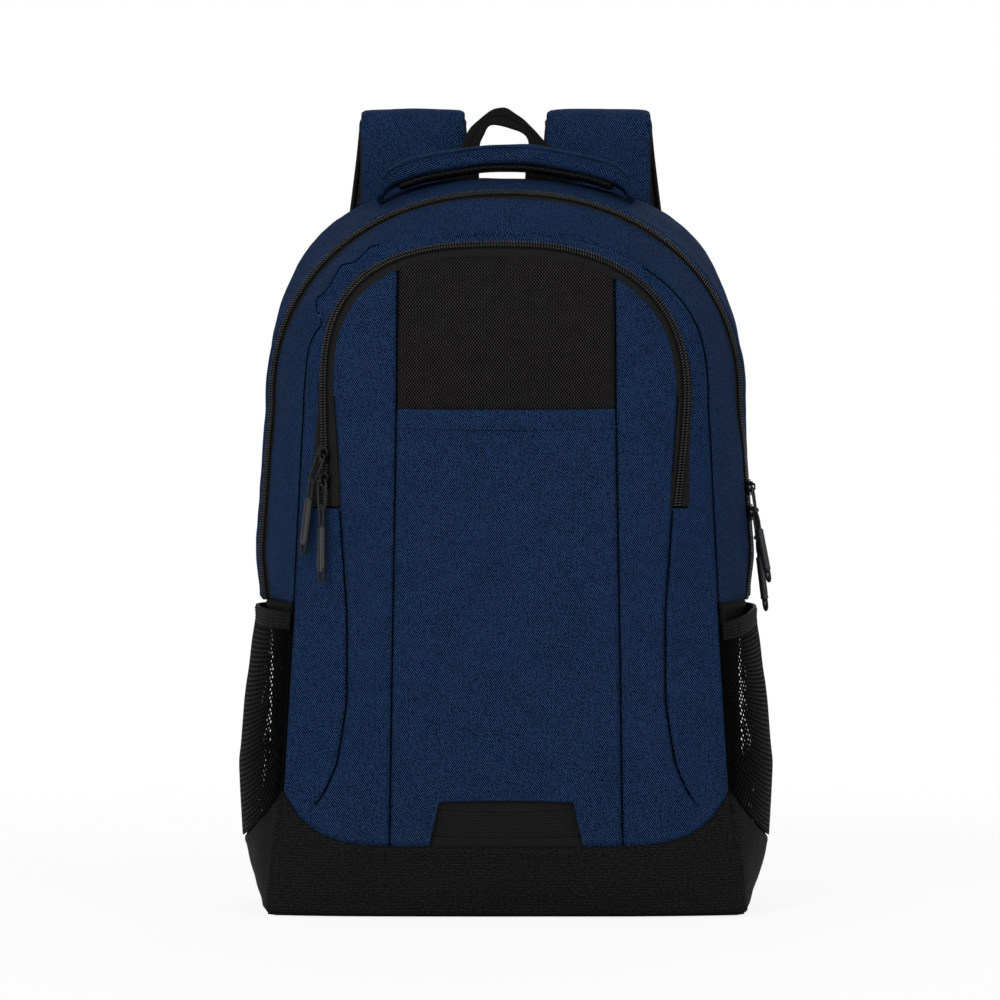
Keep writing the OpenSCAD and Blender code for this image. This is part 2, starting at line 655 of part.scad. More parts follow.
// ---- Side pockets ----
fullness = [[0, 0.56], [28, 0.84], [47, 1.02], [60, 1], [86, 0.97], [99, 0.92], [124, 0.7], [134, 0.58],
            [148, 0.36]];
function pocket_stand(st_y, y, z) =
  // distance from the bag's wall to the inside of the pocket
  let (v = (y - st_y) / (back_y - st_y), low = boot_side(st_y, y))
  seam_gap + pocket_full * lookup(z - low, fullness) * swollen(v);
module pocket_sheet(side, low, high, rows, t, spread) {
  grid = function (d) [for (h = spread) [for (v = steps(12)) let (
      y0 = mix(seam_y(boot_side_z) + 1, back_y - 1, v),
      z = mix(low(y0), high, h),
      y = mix(seam_y(z) + fabric_t + 2 * seam_gap, back_y - 1, v))
    wall(leg_station(side, z), y, -pocket_stand(seam_y(z), y, z) - d)]];
  sheet(grid(t), grid(0));
}
module mesh_pocket(side) {
  color(black) pocket_sheet(side, function (y) boot_side(seam_y(boot_side_z), y) + seam_gap,
                            elastic_z - elastic_h - seam_gap, 8, mesh_t,
                            [0, 0.02, 0.06, 0.14, 0.28, 0.45, 0.65, 0.82, 1]);
}
module mesh_pocket_left() { mesh_pocket(-1); }
module mesh_pocket_right() { mesh_pocket(1); }
module pocket_elastics() {
  for (side = [-1, 1])
    color(black) pocket_sheet(side, function (y) elastic_z - elastic_h, elastic_z, 2, fabric_t,
                              [0, 0.5, 1]);
}

// ---- Zips, tapes and coils ----
module main_zip_rear() {
  legs = function (leg) [for (z = [zip_foot_z, zip_knee_z, fold_z - 12]) main_leg_ring(leg, z, 1)];
  arch_rings = [for (m = main_arch_mids) main_zip_ring(m[0], m[1], 1)];
  color(black) loft(concat(legs(-1), arch_rings, reversed(legs(1))));
}
module main_zip_front() {
  color(black) loft([for (m = main_arch_mids) main_zip_ring(m[0], m[1], -1)]);
}
module main_zip_front_lower() {
  for (leg = [-1, 1])
    color(black) loft([for (z = [zip_foot_z, zip_knee_z, panel_top]) main_leg_ring(leg, z, -1)]);
}
module pocket_zip_inner() {
  color(black) loft([for (m = pocket_arch_mids) pocket_zip_ring(m[0], m[1], -1)]);
}
module pocket_zip_outer() {
  color(black) loft([for (m = pocket_arch_mids) pocket_zip_ring(m[0], m[1], 1)]);
}
module pocket_zip_lower() {
  for (leg = [-1, 1]) for (side = [-1, 1]) color(black)
    loft([for (z = [pocket_foot_z, panel_top]) pocket_zip_ring(pocket_leg_point(leg, z), [leg, 0], side)]);
}

// ---- The opening front ----
module pocket_surround() {
  grid = function (d) [for (v = steps(3)) [for (k = [0:arch_steps]) let (
      t = 180 * k / arch_steps,
      m = pocket_arch_mids[k],
      inner = pocket_zip_point(m[0], m[1], 1, reveal, 0),
      outer = arch(seam_arch, t),
      p = mix([inner[0], inner[2]], outer, v))
    front_point(p[0], p[1], d)]];
  color(navy) sheet(grid(0), grid(fabric_t));
}
module divider_sheet(z0, z1, side_clear) {
  // a flat wall between the pocket and the main compartment, just behind the front's seam
  cols = 8;
  rows = 6;
  depth = fabric_t + 2;
  half = function (z) (z < fold_z ? seam_x(z) : seam_w / 2) - side_clear;
  grid = function (d) [for (v = steps(rows)) [for (h = steps(cols)) let (
      x = mix(-1, 1, h) * half(mix(z0, z1(0), v)) * (z0 > fold_z ? 0.995 : 1),
      z = mix(z0, z1(x), v))
    [x, seam_y(z) + depth + d, z]]];
  color(gunmetal) sheet(grid(0), grid(1));
}
function under_arch(o, inset, x) =
  let (a = o[0] - inset, b = o[1] - inset, n = o[2])
  fold_z + fold_gap / 2 + b * pow(max(0, 1 - pow(abs(x) / a, n)), 1 / n);
module pocket_divider() {
  clear = fabric_t + 2.5;
  divider_sheet(fold_z + fold_gap / 2, function (x) under_arch(seam_arch, clear, x), clear);
}
module pocket_divider_lower() {
  divider_sheet(base_t + board_t + 2 * seam_gap, function (x) panel_top, fabric_t + 3);
}

// ---- The flap of the front pocket ----
flap_inset = reveal * cos(pocket_tilt_top) + tape_t * sin(pocket_tilt_top);
flap_half = pocket_arch[0] - reveal * cos(pocket_tilt_leg) - tape_t * sin(pocket_tilt_leg);
module weave_panel() {
  half = centre_w / 2 - seam_gap / 2;
  grid = function (d) [for (v = steps(6)) [for (h = steps(10)) let (
      x = mix(-half, half, h), z = mix(fold_z + fold_gap / 2, under_arch(pocket_arch, flap_inset, x), v))
    front_point(x, z, d)]];
  color(black) sheet(grid(0), grid(fabric_t));
}
module flap_side(side) {
  near = centre_w / 2 + seam_gap / 2;
  far = flap_half * 0.998;
  grid = function (d) [for (v = steps(6)) [for (h = steps(8)) let (
      x = mix(near, far, 1 - pow(1 - h, 2)),
      z = mix(fold_z + fold_gap / 2,
              under_arch([flap_half + flap_inset, pocket_arch[1], pocket_arch[2]], flap_inset, x), v))
    front_point(side * x, z, d)]];
  color(navy) sheet(grid(0), grid(fabric_t));
}
module flap_side_left() { flap_side(-1); }
module flap_side_right() { flap_side(1); }

// ---- Back ----
back_levels = concat([base_t + seam_gap], [for (k = [1:len(rear_profile) - 2]) rear_profile[k][0]],
                     [fold_z - 20]);
module back_panel() {
  in = fabric_t + 1.2;
  outline = concat(
    [for (z = reversed(back_levels)) [-rear_x(z) + in, z]],
    [for (z = back_levels) [rear_x(z) - in, z]],
    [for (k = [arch_steps:-1:0])
      arch([rear_arch[0] - in, rear_arch[1] - in, rear_arch[2]], 180 * k / arch_steps)]);
  color(black) translate([0, back_y, 0]) rotate([90, 0, 0]) linear_extrude(back_t) polygon(outline);
}
// A cushion on the back: rings of a rounded rectangle that shrink as they rise
module cushion(x0, x1, z0, z1, thick) {
  cx = (x0 + x1) / 2;
  cz = (z0 + z1) / 2;
  ring = function (y, in) [for (k = [0:27]) let (
      t = 360 * k / 28, c = cos(t), s = sin(t),
      a = (x1 - x0) / 2 - in, b = (z1 - z0) / 2 - in)
    [cx + a * sign(c) * pow(abs(c), 0.4), back_y + seam_gap + y, cz + b * sign(s) * pow(abs(s), 0.4)]];
  loft([ring(0, 1.5), ring(thick * 0.45, 0), ring(thick * 0.85, 2.5), ring(thick, 8)]);
}
pad_middle = (pad_low + pad_top + pad_gap) / 2;
module back_pads() {
  inner = channel_w / 2;
  outer = body_w / 2 - 26;
  color(black) for (side = [-1, 1]) for (part = [[pad_low, pad_middle - pad_gap], [pad_middle, pad_top]])
    cushion(min(side * inner, side * outer), max(side * inner, side * outer), part[0], part[1], pad_t);
}
module lumbar_pad() {
  half = body_w / 2 - 40;
  color(black) cushion(-half, half, lumbar_low, lumbar_high, pad_t);
}
yoke_t = 3;
yoke_low = pad_top + 6;
yoke_high = yoke_low + 36;
module strap_yoke() {
  half = strap_pitch / 2 + strap_w / 2 + 6;
  color(navy) translate([0, back_y + seam_gap + yoke_t, 0]) rotate([90, 0, 0]) linear_extrude(yoke_t)
    polygon([[-half, yoke_low + 8], [-half + 8, yoke_low], [half - 8, yoke_low], [half, yoke_low + 8],
             [half - 4, yoke_high], [-half + 4, yoke_high]]);
}
sleeve_cut = 24;
module laptop_sleeve() {
  y = back_y - back_t - sleeve_gap;
  half = body_w / 2 - 12;
  color(gunmetal) translate([0, y, base_t + board_t + 2 * seam_gap]) rotate([90, 0, 0])
    linear_extrude(sleeve_t)
    polygon([[-half, 0], [half, 0], [half, sleeve_h - sleeve_cut / 2], [half - sleeve_cut, sleeve_h],
             [sleeve_cut - half, sleeve_h], [-half, sleeve_h - sleeve_cut / 2]]);
}

// ---- Shoulder straps ----
// Route of a strap's middle as [sideways, y behind the back panel, height], and the width
strap_x = strap_pitch / 2;
strap_clear = yoke_t + 2 * seam_gap;
root_y = back_y + strap_clear + (strap_t + strap_mesh_t) / 2;
split_z = 496;
anchor_x = body_w / 2 - 15;
anchor_z = 46;
anchor_t = 2.4;
anchor_foot = [anchor_x, back_y + seam_gap + anchor_t + webbing_t / 2, anchor_z - 10];
split_point = [strap_x, root_y + 8.5, split_z];
// The webbing leaves the back far enough out to swing without touching it
anchor_point = [anchor_x - 3, back_y + 9.5, anchor_z + 18];
strap_axis = unit(split_point - anchor_point);
foot_across = unit(cross([0, 1, 0], strap_axis));
foot_face = unit(cross(strap_axis, foot_across));

// Each row: middle of the strap, direction across its thickness towards the wearer, width
strap_route = [
  [[strap_x, root_y, yoke_low + 8], [0, 1, 0], strap_w],
  [[strap_x, root_y + 1, yoke_low + 32], [0, 1, -0.06], strap_w],
  [[strap_x, root_y + 4, yoke_low + 64], [0, 1, -0.15], strap_w]];
strap_over = [
  [[strap_x + 1, root_y + 13, strap_top_z - 13], [0, 1, -0.6], strap_w],
  [[strap_x + 1, root_y + 24, strap_top_z - 6.5], [0, 0.35, -1], strap_w],
  [[strap_x + 2, root_y + 41, strap_top_z - 6.5], [0, -0.25, -1], strap_w],
  [[strap_x + 4, root_y + 57, strap_top_z - 17], [0, -0.9, -1], strap_w],
  [[strap_x + 7, root_y + 70, strap_top_z - 41], [0, -1, -0.4], strap_w],
  [[strap_x + 13, root_y + 79, 430], [0, -1, -0.12], strap_w + 2],
  [[strap_x + 22, root_y + 83, 375], [0, -1, 0], strap_w + 2],
  [[strap_x + 31, root_y + 80, 320], [0, -1, 0.12], strap_w - 4],
  [[strap_x + 39, root_y + 72, 270], [0, -1, 0.2], (strap_w + strap_end_w) / 2],
  [[strap_x + 45, root_y + 61, 230], [0, -1, 0.28], strap_end_w]];
function strap_ring(r, off, t) =
  // off is the distance from the middle towards the wearer
  let (n = unit(r[1]))
  bar_ring(r[0] + n * off, [1, 0, 0], n, r[2] / 2, t / 2, t * 0.4);
function split_ring(shift, off, t) =
  let (w = unit(cross([0, 1, 0], strap_axis)), n = unit(cross(strap_axis, w)))
  bar_ring(split_point + strap_axis * shift + n * off, w, n, strap_w / 2, t / 2, t * 0.4);
pad_off = -strap_mesh_t / 2 - 0.1;
mesh_off = strap_t / 2 + 0.1;

module strap_bases() {
  both_sides() {
    color(navy) loft(concat([for (r = strap_route) strap_ring(r, pad_off, strap_t)],
                            [split_ring(-0.2, pad_off, strap_t)]));
    color(black) loft(concat([for (r = strap_route) strap_ring(r, mesh_off, strap_mesh_t)],
                             [split_ring(-0.2, mesh_off, strap_mesh_t)]));
  }
}
module strap_pad(side) {
  mirror([side < 0 ? 1 : 0, 0, 0])
    color(navy) loft(concat([split_ring(0.2, pad_off, strap_t)],
                            [for (r = strap_over) strap_ring(r, pad_off, strap_t)]));
}
module strap_mesh(side) {
  mirror([side < 0 ? 1 : 0, 0, 0])
    color(black) loft(concat([split_ring(0.2, mesh_off, strap_mesh_t)],
                             [for (r = strap_over) strap_ring(r, mesh_off, strap_mesh_t)]));
}
module strap_pad_left() { strap_pad(-1); }
module strap_pad_right() { strap_pad(1); }
module strap_mesh_left() { strap_mesh(-1); }
module strap_mesh_right() { strap_mesh(1); }

// ---- Ladder lock: x across, y through its thickness, z up the strap ----
pad_end = strap_over[len(strap_over) - 1];
lock_drop = 12;
lock_pivot = pad_end[0] + [1, -4, -lock_drop];
lock_w = webbing_w + 9;
lock_h = 27;
bar_r = 1.8;
eye_clear = 0.4;
web_low = anchor_point + strap_axis * 0.3;
lock_down = unit(web_low - lock_pivot);
lock_frame = frame(lock_pivot, cross([1, 0, 0], lock_down), -lock_down);

module ladder_lock_body() {
  bars = [0, -10, -19];
  color(black) {
    // side rails
    for (side = [-1, 1])
      translate([-2, side * (lock_w / 2 - 2) - 2, -lock_h + 4]) cube([4, 4, lock_h]);
    for (z = bars)
      translate([0, 0, z]) rotate([90, 0, 0]) cylinder(r = bar_r, h = lock_w - 4, center = true, $fn = 24);
    // thumb tab
    translate([-2, -lock_w / 2 + 2, -lock_h + 1.5]) cube([3.2, lock_w - 4, 4]);
    // the webbing's tail, over the middle bar and down
    translate([bar_r + 0.3, -webbing_w / 2, -62]) cube([webbing_t, webbing_w, 56]);
  }
}
module ladder_lock(side) {
  mirror([side < 0 ? 1 : 0, 0, 0]) place(lock_frame) ladder_lock_body();
}
module ladder_lock_left() { ladder_lock(-1); }
module ladder_lock_right() { ladder_lock(1); }

function webbing_ring(c, across, face, w = webbing_w, t = webbing_t) =
  bar_ring(c, across, face, w / 2, t / 2, 0.3);
module strap_webbing(side) {
  across = lock_frame[2];
  face = lock_frame[1];
  top = at_frame(lock_frame, [0, 0, -lock_h + 0.9]);
  mirror([side < 0 ? 1 : 0, 0, 0]) color(black) {
    // the foot lies square to the line that the strap swings about
    loft([webbing_ring(web_low, -foot_across, foot_face),
          for (h = [0.08, 0.5, 1]) webbing_ring(mix(web_low, top, h), across, face)]);
    // the loop that holds the lock's top bar, sewn to the pad's end
    place(lock_frame) {
      rotate([90, 0, 0]) difference() {
        cylinder(r = bar_r + eye_clear + webbing_t, h = webbing_w, center = true, $fn = 32);
        cylinder(r = bar_r + eye_clear, h = webbing_w + 1, center = true, $fn = 32);
      }
    }
    loft([webbing_ring(at_frame(lock_frame, [0, 0, bar_r + eye_clear + webbing_t / 2]), across, face,
                       webbing_w - 1, 2 * webbing_t),
          webbing_ring(pad_end[0] + [0.5, -1.5, -0.8], [-1, 0, 0], -unit(pad_end[1]),
                       webbing_w - 1, 2 * webbing_t)]);
  }
}
module strap_webbing_left() { strap_webbing(-1); }
module strap_webbing_right() { strap_webbing(1); }

module strap_anchors() {
  bend = anchor_foot + [0, 0, 12];
  both_sides() color(black) {
    // a folded triangle of fabric sewn into the back's lower corner, with the webbing's foot
    translate([anchor_x, back_y + seam_gap + anchor_t, anchor_z]) rotate([90, 0, 0])
      linear_extrude(anchor_t) polygon([[-14, 0], [13, 4], [13, -26], [6, -26]]);
    loft([webbing_ring(anchor_foot, [1, 0, 0], [0, 1, 0]), webbing_ring(bend, [1, 0, 0], [0, 1, -0.1]),
          webbing_ring(anchor_point - strap_axis * 0.3, foot_across, foot_face)]);
  }
}

// ---- Handle and hang loop ----
handle_y = 40;
handle_end_z = 461;
handle_half = handle_w / 2;
// Middle line as [x, z], half width front to back
handle_line = [
  [[handle_half, handle_end_z - 6], 2.5], [[handle_half + 0.4, handle_end_z - 4.8], 6],
  [[handle_half + 0.3, handle_end_z - 3], 8.4], [[handle_half - 1.5, handle_end_z + 2.5], 9.5],
  [[handle_half - 8, handle_end_z + 10], handle_d / 2 - 2],
  [[handle_half - 24, handle_z - handle_t / 2 - 8], handle_d / 2],
  [[handle_half - 46, handle_z - handle_t / 2 - 3.6], handle_d / 2],
  [[handle_half - 66, handle_z - handle_t / 2 - 0.6], handle_d / 2],
  [[0, handle_z - handle_t / 2], handle_d / 2]];
handle_all = concat(handle_line, [for (k = [len(handle_line) - 2:-1:0])
  [[-handle_line[k][0][0], handle_line[k][0][1]], handle_line[k][1]]]);
handle_mesh_t = 2;
function handle_up(k) =
  let (
    a = handle_all[max(0, k - 1)][0],
    b = handle_all[min(len(handle_all) - 1, k + 1)][0],
    d = unit(b - a))
  k == 0 ? [1, 0, 0] : k == len(handle_all) - 1 ? [-1, 0, 0] : [d[1], 0, -d[0]];
module handle_sweep(first, off, t, narrow) {
  last = len(handle_all) - 1 - first;
  loft([for (k = [first:last]) let (h = handle_all[k], up = handle_up(k))
    bar_ring([h[0][0], handle_y, h[0][1]] + up * off, [0, 1, 0], up, h[1] - narrow, t / 2, t * 0.35)]);
}
module handle_pad() { color(navy) handle_sweep(0, 0, handle_t, 0); }
module handle_mesh() { color(black) handle_sweep(5, -(handle_t + handle_mesh_t) / 2 - 0.1, handle_mesh_t, 4); }

loop_foot_z = body_h + 0.6;
module hang_loop() {
  gap = 16;
  outer = [[-46, loop_foot_z], [-31, loop_z - 24], [-7, loop_z - 1], [0, loop_z], [7, loop_z - 1],
           [31, loop_z - 24], [46, loop_foot_z]];
  color(black) translate([0, back_y - 1, 0]) rotate([90, 0, 0]) linear_extrude(2) difference() {
    polygon(outer);
    polygon([[-gap, loop_foot_z - 1], [-gap, loop_z - 24], [-9, loop_z - 12], [9, loop_z - 12],
             [gap, loop_z - 24], [gap, loop_foot_z - 1]]);
  }
}

back_panel();
back_pads();
lumbar_pad();
strap_yoke();
rear_gusset();
front_gusset_lower();
side_wall_left();
side_wall_right();
slip_pocket();
slip_pocket_back();
front_panel_left();
front_panel_right();
front_side_panels();
base();
base_board();
lash_strap();
mesh_pocket_left();
mesh_pocket_right();
pocket_elastics();
pocket_divider_lower();
laptop_sleeve();
strap_bases();
strap_anchors();
main_zip_rear();
main_zip_front_lower();
pocket_zip_lower();
front_gusset();
pocket_surround();
pocket_divider();
main_zip_front();
pocket_zip_outer();
weave_panel();
flap_side_left();
flap_side_right();
pocket_zip_inner();
handle_pad();
handle_mesh();
hang_loop();
strap_pad_left();
strap_pad_right();
strap_mesh_left();
strap_mesh_right();
strap_webbing_left();
strap_webbing_right();
ladder_lock_left();
ladder_lock_right();
main_slider_upper();
main_slider_lower();
pocket_slider_upper();
pocket_slider_lower();
main_puller_upper();
main_puller_lower();
pocket_puller_upper();
pocket_puller_lower();
main_cord_upper();
main_cord_lower();
pocket_cord_upper();
pocket_cord_lower();
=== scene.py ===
"""School backpack: the finished look of every piece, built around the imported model.

Lengths are millimetres in the classes and metres in the meshes, +Z up, with the front facing -Y.
"""

import json
import logging
import math
from dataclasses import dataclass
from enum import Enum
from typing import Callable, Sequence

import bmesh
import bpy
import numpy as np
from mathutils import Vector
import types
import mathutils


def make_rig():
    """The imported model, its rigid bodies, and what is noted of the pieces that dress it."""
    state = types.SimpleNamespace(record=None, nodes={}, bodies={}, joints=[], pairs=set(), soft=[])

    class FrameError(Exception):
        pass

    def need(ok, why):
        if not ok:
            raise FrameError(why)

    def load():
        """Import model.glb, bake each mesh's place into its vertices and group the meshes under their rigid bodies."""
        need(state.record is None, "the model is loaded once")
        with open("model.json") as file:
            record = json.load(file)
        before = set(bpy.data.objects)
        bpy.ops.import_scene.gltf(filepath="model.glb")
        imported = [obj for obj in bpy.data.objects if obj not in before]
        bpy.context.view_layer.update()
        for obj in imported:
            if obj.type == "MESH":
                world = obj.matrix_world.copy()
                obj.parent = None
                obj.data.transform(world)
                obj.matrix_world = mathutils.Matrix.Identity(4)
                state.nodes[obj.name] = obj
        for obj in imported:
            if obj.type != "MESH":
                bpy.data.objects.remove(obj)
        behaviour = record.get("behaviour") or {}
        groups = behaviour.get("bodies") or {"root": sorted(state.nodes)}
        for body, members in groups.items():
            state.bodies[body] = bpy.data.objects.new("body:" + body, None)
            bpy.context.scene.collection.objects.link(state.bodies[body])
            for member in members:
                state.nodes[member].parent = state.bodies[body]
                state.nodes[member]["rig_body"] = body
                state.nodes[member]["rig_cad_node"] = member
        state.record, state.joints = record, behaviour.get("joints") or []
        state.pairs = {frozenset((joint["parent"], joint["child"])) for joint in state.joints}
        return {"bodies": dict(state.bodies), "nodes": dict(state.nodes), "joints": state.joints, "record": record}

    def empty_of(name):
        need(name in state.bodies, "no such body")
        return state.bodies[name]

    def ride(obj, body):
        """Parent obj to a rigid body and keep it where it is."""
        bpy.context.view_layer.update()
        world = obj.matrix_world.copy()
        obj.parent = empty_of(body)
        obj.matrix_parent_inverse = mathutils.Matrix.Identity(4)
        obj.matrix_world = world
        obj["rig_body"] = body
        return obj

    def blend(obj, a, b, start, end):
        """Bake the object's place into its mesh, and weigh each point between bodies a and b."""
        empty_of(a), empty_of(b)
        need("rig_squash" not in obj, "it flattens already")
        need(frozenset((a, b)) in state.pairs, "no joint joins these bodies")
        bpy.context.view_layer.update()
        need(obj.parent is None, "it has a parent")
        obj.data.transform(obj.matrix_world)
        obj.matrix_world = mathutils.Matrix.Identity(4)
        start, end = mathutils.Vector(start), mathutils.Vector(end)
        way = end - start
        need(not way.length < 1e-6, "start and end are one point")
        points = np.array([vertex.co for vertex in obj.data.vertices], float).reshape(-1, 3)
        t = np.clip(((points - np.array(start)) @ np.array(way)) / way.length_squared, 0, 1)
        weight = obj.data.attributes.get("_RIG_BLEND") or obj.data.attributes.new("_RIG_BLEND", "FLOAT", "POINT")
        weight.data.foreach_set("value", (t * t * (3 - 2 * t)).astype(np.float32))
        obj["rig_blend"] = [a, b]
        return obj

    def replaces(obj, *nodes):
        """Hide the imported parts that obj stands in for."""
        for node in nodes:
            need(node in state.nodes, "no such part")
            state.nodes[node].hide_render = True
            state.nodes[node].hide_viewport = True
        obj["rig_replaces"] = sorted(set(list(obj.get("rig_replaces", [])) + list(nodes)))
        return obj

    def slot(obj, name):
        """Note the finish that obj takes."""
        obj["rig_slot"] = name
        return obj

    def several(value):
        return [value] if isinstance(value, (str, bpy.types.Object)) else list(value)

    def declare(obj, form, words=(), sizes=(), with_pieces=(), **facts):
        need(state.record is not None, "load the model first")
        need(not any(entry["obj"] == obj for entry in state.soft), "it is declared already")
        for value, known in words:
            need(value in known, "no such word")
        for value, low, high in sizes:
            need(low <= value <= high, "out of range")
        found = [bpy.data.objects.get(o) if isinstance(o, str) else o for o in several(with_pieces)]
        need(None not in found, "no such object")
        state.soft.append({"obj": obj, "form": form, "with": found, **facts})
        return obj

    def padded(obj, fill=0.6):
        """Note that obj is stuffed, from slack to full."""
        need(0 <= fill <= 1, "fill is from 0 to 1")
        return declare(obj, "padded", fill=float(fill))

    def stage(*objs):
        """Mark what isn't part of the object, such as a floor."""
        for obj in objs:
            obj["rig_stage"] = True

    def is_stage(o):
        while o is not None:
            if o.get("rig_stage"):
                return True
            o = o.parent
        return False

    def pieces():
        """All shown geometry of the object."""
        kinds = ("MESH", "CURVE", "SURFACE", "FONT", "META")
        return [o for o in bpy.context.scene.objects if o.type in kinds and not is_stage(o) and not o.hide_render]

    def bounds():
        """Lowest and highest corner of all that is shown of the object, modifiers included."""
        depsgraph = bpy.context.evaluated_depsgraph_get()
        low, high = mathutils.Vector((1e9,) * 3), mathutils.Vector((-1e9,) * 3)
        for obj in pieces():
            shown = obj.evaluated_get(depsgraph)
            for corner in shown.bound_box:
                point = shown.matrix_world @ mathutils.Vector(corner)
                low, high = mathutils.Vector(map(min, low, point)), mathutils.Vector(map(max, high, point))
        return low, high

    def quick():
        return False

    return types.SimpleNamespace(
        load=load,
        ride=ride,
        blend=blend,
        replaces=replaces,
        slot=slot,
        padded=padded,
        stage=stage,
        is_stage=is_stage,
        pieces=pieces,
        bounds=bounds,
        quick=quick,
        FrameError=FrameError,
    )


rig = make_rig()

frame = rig.load()

LOG = logging.getLogger("backpack")
MM = 0.001
TINY = 1e-9
SIZE_FILE = "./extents.json"
Array = np.ndarray
Socket = bpy.types.NodeSocket
Profile = Sequence[tuple[float, float]]
Box = tuple[float, float, float, float]


# ---------------------------------------------------------------------------------------------
# Small maths
# ---------------------------------------------------------------------------------------------
def unit(v: Array) -> Array:
    """Vectors along the last axis, each made one long."""
    return v / np.maximum(np.linalg.norm(v, axis=-1, keepdims=True), TINY)


def mix(a: Array | float, b: Array | float, t: Array | float) -> Array:
    """The value a share t of the way from a to b."""
    return a + (b - a) * t


def smoothstep(t: Array | float) -> Array:
    """An even S curve from 0 to 1."""
    t = np.clip(t, 0.0, 1.0)
    return t * t * (3 - 2 * t)


def run_of(points: Array) -> Array:
    """The distance of each point of a path from its first one."""
    return np.concatenate([[0], np.cumsum(np.linalg.norm(np.diff(points, axis=0), axis=1))])


def heading(points: Array) -> Array:
    """The unit directions along a path."""
    return unit(np.gradient(points, axis=0))


def bell(x: Array, middle: Array | float, reach: float) -> Array:
    """A smooth bump of height 1 at the middle, which dies out over about twice the reach."""
    return np.exp(-((x - middle) / reach) ** 2)


def spread(*values: Array) -> Array:
    """Coordinates that may each be a row, a column or a grid, as the last axis of one array."""
    return np.stack(np.broadcast_arrays(*values), -1)


def side_name(side: int) -> str:
    """left or right."""
    return "left" if side < 0 else "right"


def announce(*pieces: bpy.types.Object) -> None:
    """Logs that pieces are made."""
    for made in pieces:
        LOG.info("made %s", made.name)


def follow(z: Array | float, profile: Profile, reach: float = 12.0) -> Array:
    """A profile read at z, with its corners rounded over a reach on both sides.

    Args:
        z: Where it is read.
        profile: Rows of (height, value), lowest first.
        reach: How far the rounding goes, in millimetres.

    Returns:
        The value at each z.
    """
    heights, values = zip(*profile)
    z = np.asarray(z, float)
    offsets = np.linspace(-1, 1, 9)
    weights = 1 - np.abs(offsets) * 0.9
    total = sum(w * np.interp(z + o * reach, heights, values) for o, w in zip(offsets, weights))
    return total / weights.sum()


def settled(z: Array | float, profile: Profile, reach: float = 12.0, calm: float = 30.0) -> Array:
    """A profile that runs into its highest end without a slope.

    Args:
        z: Where it is read.
        profile: Rows of (height, value), lowest first.
        reach: How far the corners' rounding goes.
        calm: The length over which the last slope dies out.

    Returns:
        The value at each z.
    """
    z = np.asarray(z, float)
    (low, before), (top, end) = profile[-2:]
    t = np.clip((top - z) / calm, 0, 1)
    near = end - (end - before) / (top - low) * calm * (2 * t ** 2 - t ** 3)
    return np.where(z > top - calm, near, follow(z, profile, reach))


def ladder(length: float, step: float, fine: tuple[bool, bool] = (True, True)) -> Array:
    """Places from 0 to 1 along a length, closer together at the ends that are fine.

    Args:
        length: The length that they divide, in millimetres.
        step: The distance between them away from the ends.
        fine: Whether the first and the last end are fine.

    Returns:
        The places, in order.
    """
    near = [0.5, 1.0, 1.6, 2.3, 3.2, 4.4, 6.2]
    low = near if fine[0] else []
    high = [length - d for d in reversed(near)] if fine[1] else []
    start = low[-1] if low else 0.0
    stop = high[0] if high else length
    count = max(2, int(round((stop - start) / step)))
    middle = list(np.linspace(start, stop, count + 1))[1:-1]
    places = [0.0, *low, *middle, *high, length]
    if fine[0] and fine[1] and stop <= start:
        places = list(np.linspace(0, length, 9))
    return np.array(sorted(places)) / length


def waves(points: Array, length: float, seed: int, count: int = 7) -> Array:
    """A smooth field of waves in every direction, from about -1 to 1.

    Args:
        points: Where it is read, in millimetres, with the coordinates last.
        length: The waves' mean length.
        seed: Fixes their directions.
        count: How many waves are added.

    Returns:
        The field at each point.
    """
    rng = np.random.default_rng(seed)
    total = np.zeros(points.shape[:-1])
    for _ in range(count):
        direction = unit(rng.normal(size=3)) * 2 * math.pi / (length * rng.uniform(0.7, 1.5))
        total += np.sin(points @ direction + rng.uniform(0, 2 * math.pi))
    return total / math.sqrt(count * 1.6)


# ---------------------------------------------------------------------------------------------
# Shader tools
# ---------------------------------------------------------------------------------------------
def math_method(operation: str, swapped: bool = False) -> Callable[..., "Value"]:
    """Makes a method of Value.

    Args:
        operation: The Math node's operation.
        swapped: Whether the value itself comes last.

    Returns:
        The method, which adds one Math node on the value and what it is given.
    """

    def method(self: "Value", *others: "Value | float") -> "Value":
        """Adds the node."""
        values = (*others, self) if swapped else (self, *others)
        return Value(self.shade, self.shade.node("ShaderNodeMath", dict(enumerate(values)), operation=operation))

    return method


class Value:
    """A shader socket on which + - * / ** and the methods below add nodes."""

    __add__, __mul__ = math_method("ADD"), math_method("MULTIPLY")
    __sub__, __rsub__ = math_method("SUBTRACT"), math_method("SUBTRACT", swapped=True)
    __truediv__, __pow__ = math_method("DIVIDE"), math_method("POWER")
    sin, abs, least = math_method("SINE"), math_method("ABSOLUTE"), math_method("MINIMUM")
    floor, fraction = math_method("FLOOR"), math_method("FRACT")

    def __init__(self, shade: "Shade", socket: Socket) -> None:
        """Wraps the socket of a node in shade's tree."""
        self.shade = shade
        self.socket = socket

    def ripple(self, pitch: float) -> "Value":
        """A wave of a pitch, from 0 to 1."""
        return (self * (2 * math.pi / pitch)).sin() * 0.5 + 0.5

    def ramp(self, low: float, high: float) -> "Value":
        """0 at low and 1 at high, smooth between them."""
        return Value(self.shade, self.shade.node("ShaderNodeMapRange", {0: self, 1: low, 2: high, 3: 0.0, 4: 1.0},
                                                 interpolation_type="SMOOTHSTEP"))


